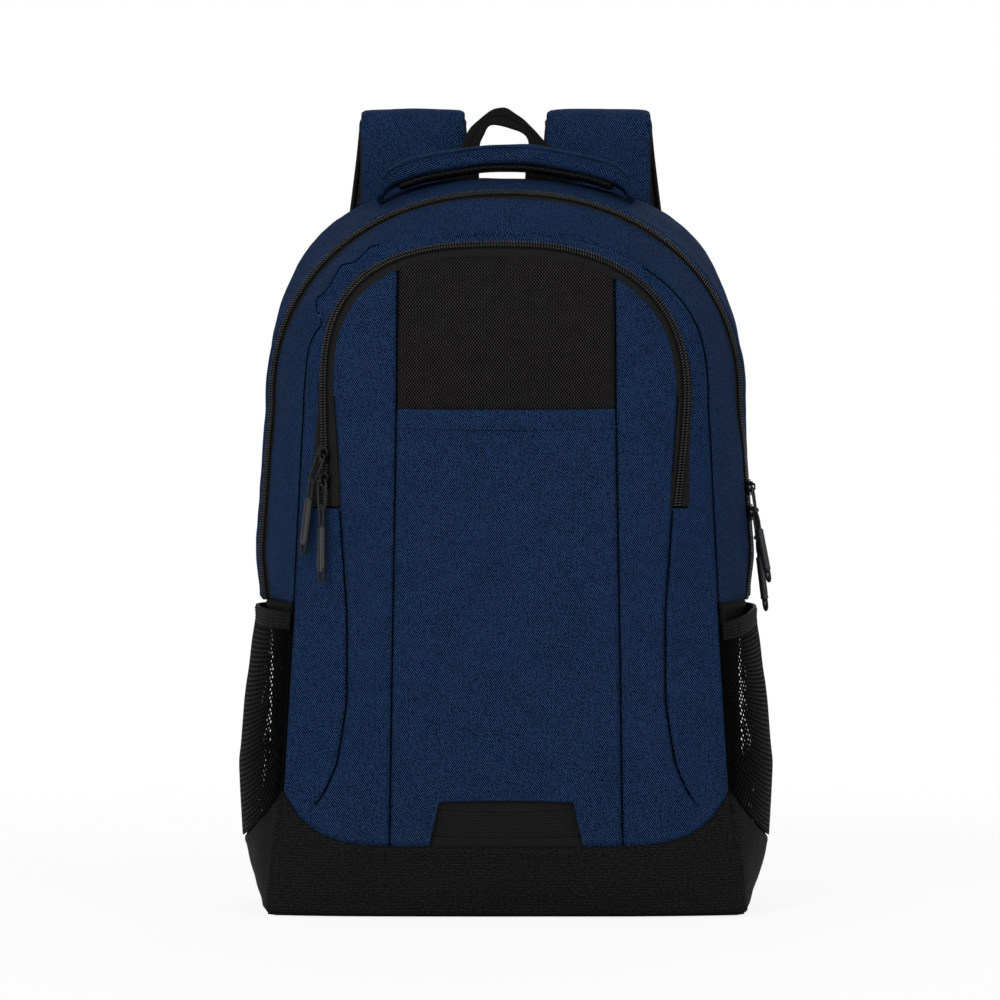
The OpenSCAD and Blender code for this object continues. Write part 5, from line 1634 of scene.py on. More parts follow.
    def stitch(self) -> list[bpy.types.Object]:
        """The hem's stitch line, the window's overlocked edge and the centre seams' top stitching."""
        x = np.linspace(-69, 69, 120)
        line = FORM.front(x, FORM.hem_z - self.hem_low - self._sag(x), -1.25)
        made = [lower_fold(ROW.lay("slip_hem_stitches", line, FRONTWARD, 2.9, Finish.THREAD, Length=2.3, Width=0.62,
                                   Height=0.55))]
        z = np.linspace(self.window_low + 1, self.window_top, 30)
        left = np.stack([-self.window_half(z) - 0.9, z], -1)
        across = np.linspace(-1, 1, 80)
        top = np.stack([across * self.window_half_top,
                        self.window_top + 0.9 + self.window_bow * (1 - across ** 2)], -1)
        path = np.concatenate([left, top[1:-1], left[::-1] * [-1, 1]])
        made.append(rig.ride(ROW.lay("window_overlock", FORM.front(path[:, 0], path[:, 1], -0.6), FRONTWARD, 1.2,
                                    Finish.THREAD, Length=2.8, Width=0.62, Height=0.8, Turn=1.15, Wander=0.12),
                            "bag"))
        over = Stations.over(240)
        for tag, x in (("a", -2.3), ("b", 1.1)):
            pick = int(np.argmin(np.abs(over.mid[:, 0] - x)))
            y = np.linspace(over.seam_y[pick] + 2, FORM.zip_y - 11, 30)
            wall = over.wall_at(np.tile(y, (len(over.seam_y), 1)), 0.2)[pick]
            wall[:, 0] = x
            up = np.array([over.normal[pick][0], 0.0, over.normal[pick][1]])
            made.append(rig.ride(ROW.lay(f"top_seam_stitches_{tag}", wall, up, 2.7, Finish.THREAD, Length=2.2,
                                        Width=0.6, Height=0.5), "main_front"))
        return made

    def seam_shade_threads(self) -> list[bpy.types.Object]:
        """The dark thread sunk in the front's long seams: partly real stitching, partly painted shade in the seams'
        grooves.
        """
        made = []

        def lay(name: str, line: Array) -> bpy.types.Object:
            """A row of near-black thread in a seam, which paints the seam's shade."""
            return ROW.lay(name, line, FRONTWARD, 1.5, Finish.SHADE, Length=2.0, Width=0.85, Height=0.8)

        for side in (-1, 1):
            tag = side_name(side)
            z = np.linspace(40, FORM.fold_z, 180)
            for key, x, top in (("centre", FORM.centre_x(z), FORM.fold_z),
                                ("curved", FORM.princess_x(z), FORM.pocket_foot_z - 2)):
                keep = (z > FORM.boot_top(x) + 1) & (z <= top)
                made.append(lower_fold(lay(f"{key}_seam_thread_{tag}", FORM.front(side * x[keep], z[keep], 0.5))))
            x = side * FORM.centre_half
            rise = np.linspace(FORM.fold_z, FORM.flap_top(np.array(x)), 60)
            made.append(flap_fold(lay(f"weave_seam_thread_{tag}", FORM.front(x, rise, 0.5))))
            z = np.linspace(78, FORM.fold_z, 160)
            line = np.stack([side * FORM.seam_x(z), FORM.seam_y(z) + 0.4, z], -1)
            made.append(lower_fold(lay(f"front_seam_thread_{tag}", line)))
        for tag, low, high in (("left", 0.0, 1.0), ("right", 2.25, math.pi)):
            seam = FORM.seam_line(np.linspace(low, high, 160))
            line = np.stack([seam[:, 0], FORM.seam_y(seam[:, 1]) + 1.3, seam[:, 1]], -1)
            made.append(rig.ride(lay(f"arch_seam_thread_{tag}", line), "main_front"))
        return made

    def build(self) -> None:
        """Makes every piece of the front."""
        announce(self.slip_pocket(), self.slip_hem(), self.weave_lower(), self.weave_patch(), self.surround(),
                 self.lash(), *self.stitch(), *self.seam_shade_threads())
        for side in (-1, 1):
            announce(self.front_panel(side), self.side_panels(side), self.flap_side(side))


# ---------------------------------------------------------------------------------------------
# Walls
# ---------------------------------------------------------------------------------------------
@dataclass
class Walls:
    """The gussets, the side walls behind the pockets and the base."""

    cloth: float = 1.6
    boot_t: float = 2.4
    rear_cover: float = 3.0
    front_cover: float = 7.2
    lip: tuple = ((0.0, 0.25, 0.2), (0.05, 0.8, 0.9), (0.5, 1.15, 0.9), (1.5, 1.2, 0.9), (2.6, 1.1, 1.2))
    floor_z: float = 1.2
    top_seam_x: float = -0.6

    def _gusset(self, name: str, stations: Stations, side: int, cover: float,
                edges: tuple[Joining, ...]) -> bpy.types.Object:
        """A gusset from the zip's tape to the seam or the back."""
        share = ladder(62 if side < 0 else 70, 2.6)
        stop = stations.seam_y + 0.4 if side < 0 else np.full(len(stations.seam_y), FORM.back_y)
        flat = [stations.zip_point(side, cover + u, h)[:, None] for u, h, _ in self.lip]
        last = flat[-1][:, 0]
        foot = stations.wall_at(last[:, 1:2])[:, 0]
        rise = np.sum((last - foot)[:, [0, 2]] * stations.normal, -1)
        away = share * np.abs(stop - last[:, 1])[:, None] + 1.3
        body = stations.wall(share, last[:, 1] + side * 1.3, stop, rise[:, None] * bell(away, 0.0, 13))
        grid = np.concatenate([*flat, body], 1)
        thick = np.full(grid.shape[:2], self.cloth)
        thick[:, :len(self.lip)] = [t for _, _, t in self.lip]

        def centre_seam(g: Array) -> Array:
            """The short seam in the middle of the top."""
            front = (g[..., 2] > 400) & (g[..., 1] < FORM.zip_y)
            away = g[..., 0] - self.top_seam_x
            return np.where(front, 0.35 * bell(np.abs(away), 1.7, 0.9) - 0.9 * bell(away, 0.0, 0.7), 0)

        return Cloth(name, grid, Finish.NAVY, edges, thick, spread(stations.reach[:, None], grid[..., 1]),
                     creases=0.7, folds=centre_seam, lining=Finish.LINING).build()

    def rear_gusset(self) -> bpy.types.Object:
        """The rear half of the wall, from the zip to the back."""
        made = self._gusset("rear_gusset_cloth", Stations.whole(FORM.zip_foot_z), 1, self.rear_cover, (S, S, J, S))
        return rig.ride(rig.replaces(made, "rear_gusset"), "bag")

    def front_gussets(self) -> list[bpy.types.Object]:
        """The front half of the wall: two legs and the arch."""
        heights = np.linspace(FORM.zip_foot_z, FORM.fold_z, 52)
        legs = [self._gusset("leg", Stations.legs(side, heights), -1, self.front_cover, (S, J, J, S))
                for side in (-1, 1)]
        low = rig.replaces(join("front_gusset_lower_cloth", legs), "front_gusset_lower")
        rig.slot(low, "navy_fabric")
        arch = self._gusset("front_gusset_cloth", Stations.over(180), -1, self.front_cover, (J, J, J, S))
        return [lower_fold(low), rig.ride(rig.replaces(arch, "front_gusset"), "main_front")]

    def side_wall(self, side: int) -> bpy.types.Object:
        """The wall behind a side pocket, in the near-black finish that paints the shade it lies in behind the net."""
        z = mix(30.0, FORM.zip_foot_z - 0.3, ladder(166, 3.5))
        grid = Stations.legs(side, z).wall(ladder(140, 3.5), FORM.seam_y(z) + 2.0, np.full(len(z), FORM.back_y))
        made = Cloth(f"side_wall_{side_name(side)}_cloth", grid, Finish.BACKING_AND_SHADE, (S, S, S, S), self.cloth,
                     grid[..., 1:], creases=0.5, lining=Finish.LINING).build()
        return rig.ride(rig.replaces(made, f"side_wall_{side_name(side)}"), "bag")

    @staticmethod
    def bulge(y: Array, z: Array) -> Array:
        """How far the side of the base stands out under a full pocket."""
        v = np.clip((y - FORM.boot_y) / (FORM.back_y - FORM.boot_y), 0, 1)
        across = np.sqrt(np.clip(4 * v * (1 - v), 0, 1))
        return 10 * across * follow(z, ((0, 0), (4, 0.12), (14, 0.42), (28, 0.78), (46, 1.0)), 4.0)

    def _boot(self, grid: Array, uv: Array) -> bpy.types.Object:
        """One side of the base's ribbed cloth."""
        return Cloth("boot", grid, Finish.RIBBED, (S, S, S, S), self.boot_t, uv, lining=Finish.BACKING_AND_SHADE).build()

    def base(self) -> bpy.types.Object:
        """The base: a front boot, two side boots and the floor."""
        rows = ladder(60, 2.4)[:, None]
        h = np.concatenate([ladder(150, 3.0) - 1, ladder(150, 3.0)[1:]])[None, :]
        z = mix(self.floor_z, 60.0, rows)
        for _ in range(3):
            x = h * (FORM.seam_x(z) - 0.1)
            z = mix(self.floor_z, FORM.boot_top(x), rows)
        grid = FORM.front(x, z)
        grid[..., 1] += 2.2 * bell(z, 0.0, 3.0)
        pieces = [self._boot(grid, spread(x, z))]
        for side in (-1, 1):
            v = ladder(148, 3.0)[None, :]
            z = mix(self.floor_z, 60.0, rows) + 0 * v
            for _ in range(3):
                y = mix(FORM.seam_y(z) + 0.2, FORM.back_y, v)
                z = mix(self.floor_z, FORM.boot_edge(y), rows)
            grid = Stations.side_points(side, y, z, self.bulge(y, z))
            grid[..., 0] -= side * 2.0 * bell(z, 0.0, 3.0)
            pieces.append(self._boot(grid, spread(y, z)))
        made = join("base_cloth", [*pieces, self._floor()])
        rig.slot(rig.replaces(made, "base"), "black_fabric")
        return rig.ride(made, "bag")

    @staticmethod
    def _floor() -> bpy.types.Object:
        """The base's underside."""
        x, v = np.linspace(-1, 1, 60)[:, None], np.linspace(0, 1, 34)[None, :]
        y = mix(FORM.front_y(x * 147.0, np.array(1.5)) + 2.0, FORM.back_y - 0.5, v)
        places = np.linspace(-70, FORM.back_y, 40)
        half = Stations.legs(1, np.array([1.5])).wall_at(places[None, :])[0, :, 0]
        x_all = x * (np.interp(y, places, half) - 1.0)
        sag = 0.35 * np.sin(x * 5.1 + 0.4) * np.sin(v * 4.0)
        grid = np.stack([x_all, y, 0.5 + np.abs(sag)], -1)
        return Cloth("floor", grid, Finish.BACKING_AND_SHADE, (F, F, F, F), 1.6, spread(x_all, y), inside=(0, 0, 100),
                     creases=0.0).build()

    def build(self) -> None:
        """Makes every wall."""
        announce(self.rear_gusset(), *self.front_gussets(), self.side_wall(-1), self.side_wall(1), self.base())


# ---------------------------------------------------------------------------------------------
# Side pockets
# ---------------------------------------------------------------------------------------------
@dataclass
class SidePockets:
    """The net pockets with their elastic bands."""

    cell: float = 3.6
    width: float = 178.0
    elastic_low: float = 181.4
    elastic_top: float = 193.0
    fullness: Profile = ((0, 0.56), (28, 0.84), (47, 1.02), (60, 1.0), (86, 0.97), (99, 0.92), (124, 0.70),
                         (134, 0.58), (148, 0.36))

    def stand(self, y: Array, z: Array, base: Array, seam_y: Array) -> Array:
        """How far the pocket stands out from the wall."""
        v = np.clip((y - seam_y) / (FORM.back_y - seam_y), 0, 1)
        return 0.4 + 18 * follow(z - base, self.fullness, 6.0) * np.clip(4 * v * (1 - v), 0, 1) ** 0.5

    def _points(self, side: int, y_share: Array, z_share: Array, low: Callable[[Array], Array],
                high: float) -> Array:
        """Points of the pocket's surface at shares across and up, given for each point."""
        stop = FORM.back_y - 1
        z = mix(low(mix(-64.0, stop, y_share)), high, z_share)
        drop = (3.0 if side < 0 else 9.5) * (1 - y_share) ** 2
        z = z - drop * smoothstep((z - 120) / 60)
        seam = FORM.seam_y(z)
        y = mix(seam + 0.2, stop, y_share)
        return Stations.side_points(side, y, z, self.stand(y, z, FORM.boot_edge(y), seam))

    def net(self, side: int) -> bpy.types.Object:
        """The honeycomb net."""
        columns = int(self.width / self.cell)
        rows = int((self.elastic_low - FORM.boot_z) / (self.cell * 0.866))
        i, j = np.arange(rows + 1)[:, None], np.arange(columns + 1)[None, :]
        shift = np.where((i % 2 == 1) & (j > 0) & (j < columns), 0.5, 0.0)
        y_share = np.clip((j + shift) / columns, 0, 1)
        y_share = mix(y_share, 0.5 - 0.5 * np.cos(y_share * math.pi), 0.25)
        points = self._points(side, y_share, i / rows + 0 * y_share, lambda y: FORM.boot_edge(y) - 2.0,
                              self.elastic_low + 1.5)
        number = np.arange((rows + 1) * (columns + 1)).reshape(rows + 1, columns + 1)
        faces = []
        for r in range(rows):
            for c in range(columns):
                a, b, d, e = *number[r, c:c + 2], *number[r + 1, c:c + 2]
                faces += [(a, b, e), (a, e, d)] if r % 2 else [(a, b, d), (b, e, d)]
        if side < 0:
            faces = [f[::-1] for f in faces]
        name = f"mesh_pocket_{side_name(side)}"
        made = add_object(f"{name}_net", points.reshape(-1, 3), faces, Finish.YARN)
        NET.grow(made, Finish.YARN, Hole=0.62, Yarn=0.7 * MM)
        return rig.ride(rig.replaces(made, name), "bag")

    def elastic(self, side: int) -> bpy.types.Object:
        """The gathered elastic band along the pocket's opening."""
        v, rows = np.broadcast_arrays(ladder(self.width, 2.4)[None, :], np.linspace(0, 1, 34)[:, None])
        points = self._points(side, v, rows, lambda y: np.full_like(y, self.elastic_low), self.elastic_top)
        y = points[..., 1]
        gathers = 0.22 * np.sin(y * 0.75) * (0.5 + 0.5 * np.sin(y * 0.11 + 1))
        relief = gathers + 0.26 * np.cos(rows * math.pi * 12) - np.abs(rows * 2 - 1) ** 8 + 0.8
        return Cloth("elastic", points, Finish.RIBBED, (J, J, J, J), 2.0, np.stack([v * self.width, rows * 11], -1),
                     creases=0.25, folds=lambda _: relief).build()

    def build(self) -> None:
        """Makes both pockets."""
        bands = []
        for side in (-1, 1):
            announce(self.net(side))
            bands.append(self.elastic(side))
        made = join("pocket_elastic_bands", bands)
        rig.slot(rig.replaces(made, "pocket_elastics"), "black_fabric")
        announce(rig.ride(made, "bag"))


# ---------------------------------------------------------------------------------------------
# Zips
# ---------------------------------------------------------------------------------------------
@dataclass
class Zips:
    """The main zip and the pocket's zip: woven tapes, coils of teeth and the binding beside them."""

    coil: float = 2.7
    coil_slant: float = 0.42

    @staticmethod
    def _strip(sections: Sequence[Array], finish: Finish) -> bpy.types.Object:
        """A tape through lines of points across its width."""
        grid = np.stack(sections, 1)
        uv = np.stack([along(grid, 0), along(grid, 1)], -1)
        return Cloth("zip", grid, finish, (J, J, F, F), 0.75, uv, creases=0.0).build()

    def half(self, line: Stations | PocketLine, side: int) -> list[bpy.types.Object]:
        """One half of a zip: its tape and its row of teeth.

        Args:
            line: The zip's middle line.
            side: -1 for the front or inner half and 1 for the other.

        Returns:
            The tape, the bed under the teeth, the teeth and the tape's thread.
        """
        main = isinstance(line, Stations)
        wide = 8.4 if side < 0 and main else 5.0
        # The bed is darker than the tape beside it: partly the black tape, partly painted shade between and under the
        # teeth.
        bed = self._strip([line.zip_point(side, u, 0.1) for u in (0.4, 1.2, 2.2, 3.0)], Finish.BACKING_AND_SHADE)
        tape = self._strip([line.zip_point(side, u, 0.0) for u in (2.9, 3.6, 4.4, wide)], Finish.BINDING)
        middle = line.zip_point(side, 1.4, 0.95)
        up = unit(line.zip_point(side, 1.4, 2.0) - middle)
        teeth = ROW.lay("teeth", middle, up, 1.68 if main else 1.76, Finish.COIL, Length=self.coil, Width=0.78,
                        Height=1.6, Turn=math.pi / 2 + self.coil_slant)
        thread = ROW.lay("thread", line.zip_point(side, 3.2, 0.15), up, 2.3, Finish.BLACK_THREAD, Length=2.0,
                         Width=0.5, Height=0.5)
        return [tape, bed, teeth, thread]

    def binding(self, line: PocketLine, reach: float | Array, side: int) -> bpy.types.Object:
        """The folded tape beside the pocket's coil.

        Args:
            line: The zip's middle line.
            reach: The distance from it to the cloth that it is sewn to.
            side: -1 for the inner half and 1 for the outer.

        Returns:
            The tape.
        """
        share = np.array([0, 0.1, 0.22, 0.4, 0.58, 0.76, 0.9, 1.0])
        depth = np.array([1.5, 0.5, -0.25, -0.6, -0.6, -0.3, 0.2, 0.7])
        reach = np.broadcast_to(np.asarray(reach, float), len(line.middle))[:, None]
        away = 1.9 + np.maximum(reach - 1.0, 0.8) * share
        flat = line.middle[:, None, [0, 2]] + side * line.normal[:, None] * away[..., None]
        grid = FORM.front(flat[..., 0], flat[..., 1], depth)
        uv = np.stack([along(grid, 1), along(grid, 0)], -1)
        return Cloth("binding", grid, Finish.BINDING, (J, J, F, F), 0.7, uv, creases=0.12).build()

    @staticmethod
    def _inset(arch: PocketLine) -> Array:
        """The distance from the pocket's coil to the flap's cloth over the arch."""
        wide, tall = FORM.flap_inset
        x, z = arch.middle[:, 0], arch.middle[:, 2] - FORM.fold_z
        return (wide * np.abs(x * arch.normal[:, 0]) / FORM.pocket_arch[0]
                + tall * z * arch.normal[:, 1] / FORM.pocket_arch[1] + 0.8)

    def build(self) -> None:
        """Makes both zips, split where the front opens."""
        legs = [Stations.legs(side, np.linspace(FORM.zip_foot_z, FORM.fold_z, 60)) for side in (-1, 1)]
        rear = join("main_zip_rear_half", self.half(Stations.whole(FORM.zip_foot_z, 2.0), 1))
        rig.ride(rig.replaces(rear, "main_zip_rear"), "bag")
        front = join("main_zip_front_half", self.half(Stations.over(260), -1))
        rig.ride(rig.replaces(front, "main_zip_front"), "main_front")
        lower = join("main_zip_front_legs", [p for leg in legs for p in self.half(leg, -1)])
        lower_fold(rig.replaces(lower, "main_zip_front_lower"))
        arch = PocketLine.over(200)
        inner = join("pocket_zip_inner_half", [*self.half(arch, -1), self.binding(arch, self._inset(arch), -1)])
        flap_fold(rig.replaces(inner, "pocket_zip_inner"))
        outer = join("pocket_zip_outer_half", self.half(arch, 1))
        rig.ride(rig.replaces(outer, "pocket_zip_outer"), "main_front")
        ends = {side: PocketLine.legs(side, np.linspace(FORM.pocket_foot_z, FORM.fold_z, 40)) for side in (-1, 1)}
        halves = [p for leg in ends.values() for side in (-1, 1) for p in self.half(leg, side)]
        for side, leg in ends.items():
            x, z = np.abs(leg.middle[:, 0]), leg.middle[:, 2]
            halves += [self.binding(leg, x - FORM.princess_x(z), -1),
                       self.binding(leg, FrontBody.leg_edge(side, z) - x, 1)]
        feet = join("pocket_zip_legs", halves)
        lower_fold(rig.replaces(feet, "pocket_zip_lower"))
        for made in (rear, front, lower, inner, outer, feet):
            announce(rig.slot(made, "zip_black"))


# ---------------------------------------------------------------------------------------------
# Pulls
# ---------------------------------------------------------------------------------------------
@dataclass
class CordPull:
    """A doubled cord looped on the wire, through a moulded tube to a knotless loop at its end."""

    node: str
    radius: float = 0.95
    tube_radius: float = 2.7
    tube_length: float = 27.0
    loop: float = 7.0

    def axis(self) -> tuple[Array, Array, Array, float]:
        """The top of the frame's cord, its directions down and across, and its length."""
        points = points_of(frame["nodes"][self.node].data).astype(float) / MM
        centre = points.mean(0)
        _, _, turns = np.linalg.svd(points - centre, full_matrices=False)
        down = turns[0] * (-1 if turns[0][2] > 0 else 1)
        reach = (points - centre) @ down
        top = centre + down * reach.min()
        radial = points - top - ((points - top) @ down)[:, None] * down
        middle = radial[(reach > reach.min() + 14) & (reach < reach.max() - 8)]
        shift = (middle.max(0) + middle.min(0)) / 2
        out = np.array([-1.0, -0.6, 0.0]) if "main" in self.node else np.array([-0.45, -1.0, 0.0])
        out = unit(out - down * np.dot(out, down))
        span = centre + down * reach.max() - top - shift
        return top + shift, down, np.cross(out, down), float(np.linalg.norm(span))

    def build(self) -> None:
        """Makes the cord, the tube and the end loop."""
        top, down, across, length = self.axis()
        out = np.cross(down, across)
        tube_top = length - self.loop - 1.5 - self.tube_length
        lines = []
        for side in (-1, 1):
            rows = ((1.0, 0.0, 0.9), (2.0, 1.2, 0.8), (tube_top * 0.55, 1.25, 0.0), (tube_top * 0.85, 1.0, 0.0),
                    (tube_top + 3, 0.9, 0.0))
            lines.append(curve_through([top + down * d + across * side * a + out * side * o for d, a, o in rows],
                                       0.7))
        a = math.pi * np.arange(15)[:, None] / 14
        lines.append(top + down * (1.9 - 1.5 * np.sin(a)) + out * np.cos(a) * 1.6)
        a = math.pi * np.arange(25)[:, None] / 24
        lines.append(top + down * (length - self.loop - 2.5 + (self.loop + 1.0) * np.sin(a))
                     + across * np.cos(a) * (1.5 + 0.9 * np.sin(a)))
        pieces = [tube("cord", line, self.radius, Finish.CORD) for line in lines]
        made = join(self.node + "_cord_and_tube", [*pieces, self._grip(top, down, across, out, tube_top)])
        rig.slot(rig.replaces(made, self.node), "black_rubber")
        announce(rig.ride(made, self.node))

    def _grip(self, top: Array, down: Array, across: Array, out: Array, start: float) -> bpy.types.Object:
        """The moulded tube with rolled ends and shallow grooves."""
        close = np.array([0, 0.3, 0.7, 1.2, 1.9])
        t = np.concatenate([close, np.linspace(2.6, self.tube_length - 2.6, 22), self.tube_length - close[::-1]])
        ends = np.minimum(t, self.tube_length - t)
        radius = self.tube_radius - 0.55 * np.clip(1 - ends / 0.8, 0, 1) ** 2
        radius = radius + 0.12 * bell(ends, 1.2, 0.6) - 0.1 * bell(ends, 2.4, 0.5)
        middle = top + down * (start + t)[:, None]
        return swept("grip", middle, across, out, radius, radius * 0.86, Finish.GRIP, 20, (1.0, 1.0))


@dataclass
class Hardware:
    """The cast and moulded CAD pieces that stay, with their finishes, and the cord pulls."""

    metal: tuple[str, ...] = ("slider", "puller")

    def build(self) -> None:
        """Dresses the pieces that stay and makes the cord pulls."""
        kept = {"ladder_lock_left": Finish.PLASTIC, "ladder_lock_right": Finish.PLASTIC,
                "base_board": Finish.BOARD, "laptop_sleeve": Finish.LINING, "pocket_divider": Finish.LINING,
                "pocket_divider_lower": Finish.LINING}
        for name, node in frame["nodes"].items():
            finish = Finish.METAL if any(word in name for word in self.metal) else kept.get(name)
            if finish is not None:
                node.data.materials.clear()
                node.data.materials.append(WARDROBE.get(finish))
        for zipper in ("main", "pocket"):
            for place in ("upper", "lower"):
                CordPull(f"{zipper}_cord_{place}").build()


# ---------------------------------------------------------------------------------------------
# Handle and hang loop
# ---------------------------------------------------------------------------------------------
@dataclass
class TopHandle:
    """The padded grab handle, sewn down on both sides of the zip."""

    y: float = 40.0
    thick: float = 6.8
    net_reach: float = 74.0
    net_share: float = 0.78
    piping: float = 1.25
    line: tuple = ((82, 455, 4.5), (82.4, 456.2, 6.5), (82.3, 458, 8.4), (80.5, 463.5, 9.5), (74, 471, 13),
                   (58, 477.5, 15), (36, 481.9, 15), (16, 484.9, 15), (0, 485.5, 15))

    def _path(self) -> tuple[Array, Array, Array, Array]:
        """Middle line, directions across and up, and the half width."""
        rows = [(x, self.y, z, w) for x, z, w in self.line]
        rows += [(-x, y, z, w) for x, y, z, w in rows[-2::-1]]
        path = curve_through(rows, 2.0)
        middle, half = path[:, :3], path[:, 3]
        across = np.tile([0.0, 1.0, 0.0], (len(middle), 1))
        up = np.cross(heading(middle), across)
        up *= np.sign(up[len(up) // 2][2])
        return middle, across, up, half

    def build(self) -> None:
        """Makes the pad, its piping, its net underside and its stitching."""
        middle, across, up, half = self._path()

        def crown(points: Array, angle: Array) -> Array:
            """Soft waves and a pulled-in edge where it is sewn."""
            return waves(points, 26, 21) * 0.45 - 0.45 * bell(np.sin(angle), 0.0, 0.25)

        thick = np.interp(middle[:, 2], [455, 462, 468, 474], [2.4, 3.4, 5.4, self.thick])
        low = middle - up * (thick * 0.19)[:, None]
        pad = swept("handle_pad_cloth", low, across, up, half, thick, Finish.NAVY, 56, (0.4, 0.6), relief=crown)
        made = [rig.replaces(pad, "handle_pad")]
        inner = slice(8, -8)
        for side in (-1, 1):
            edge = (middle[inner] + across[inner] * (side * (half[inner] - 1.0))[:, None]
                    + up[inner] * (thick[inner] * 0.43)[:, None])
            made.append(tube(f"handle_piping_{side_name(side)}", edge, self.piping, Finish.NAVY, 12))
            line = edge - up[inner] * 1.9 + across[inner] * side * 1.05
            made.append(ROW.lay(f"handle_stitches_{side_name(side)}", line, across[inner] * side, 2.6,
                                Finish.THREAD, **FINE_STITCH))
        under = np.abs(middle[:, 0]) < self.net_reach
        low = middle[under] - up[under] * (thick[under] * 1.19 + 1.5)[:, None]
        net = swept("handle_mesh_underside", low, across[under], up[under], half[under] * self.net_share, 2.0,
                    Finish.SPACER, 40, (0.5, 0.7))
        made.append(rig.replaces(net, "handle_mesh"))
        for piece in made:
            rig.slot(piece, "navy_fabric" if piece is not net else "black_mesh")
            announce(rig.ride(piece, "grab_handle"))
        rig.padded(pad, fill=0.7)


@dataclass
class HangLoop:
    """A loop of folded webbing at the top of the back."""

    thick: float = 1.7
    y: float = 79.2
    edges: tuple = ((-48, 467.5, -17.6, 467.5), (-45, 476, -17.5, 477), (-37, 486, -17.4, 487),
                    (-29.3, 493.8, -16.9, 495), (-24.7, 504.2, -13.9, 502), (-18.2, 510.9, -11.6, 506.4),
                    (-11.2, 516.6, -9.0, 507.6), (-5.8, 519.0, -5.0, 507.3), (-0.4, 519.3, -0.6, 506.3),
                    (5.0, 516.3, 4.3, 504.8), (13.3, 510.3, 9.4, 503), (22.2, 501, 13.4, 500),
                    (30, 492.5, 15, 495), (38, 485, 14.2, 487), (45, 476, 13, 477), (48, 467.5, 12.4, 467.5))

    def build(self) -> None:
        """Makes the loop and its edge stitching."""
        path = curve_through([((a + c) / 2, self.y, (b + d) / 2, (a - c) / 2, 0.0, (b - d) / 2)
                              for a, b, c, d in self.edges], 1.5)
        middle, half = path[:, :3], np.linalg.norm(path[:, 3:], axis=1)
        up = np.array([0.0, -1.0, 0.0])
        across = path[:, 3:] / half[:, None]
        band = swept("hang_loop_webbing", middle, across, up, half, self.thick / 2, Finish.WEBBING, 24, (0.25, 0.6),
                     relief=lambda points, _: waves(points, 9, 31) * 0.12)
        made = [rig.replaces(band, "hang_loop")]
        for side in (-1, 1):
            line = middle[6:-6] + across[6:-6] * side * (half[6:-6] - 1.6)[:, None] + up * (self.thick / 2)
            made.append(ROW.lay(f"hang_loop_stitches_{side_name(side)}", line, up, 2.8,
                                Finish.BLACK_THREAD, Length=2.2, Width=0.55, Height=0.5))
        for piece in made:
            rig.slot(piece, "black_webbing")
            announce(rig.ride(piece, "loop"))


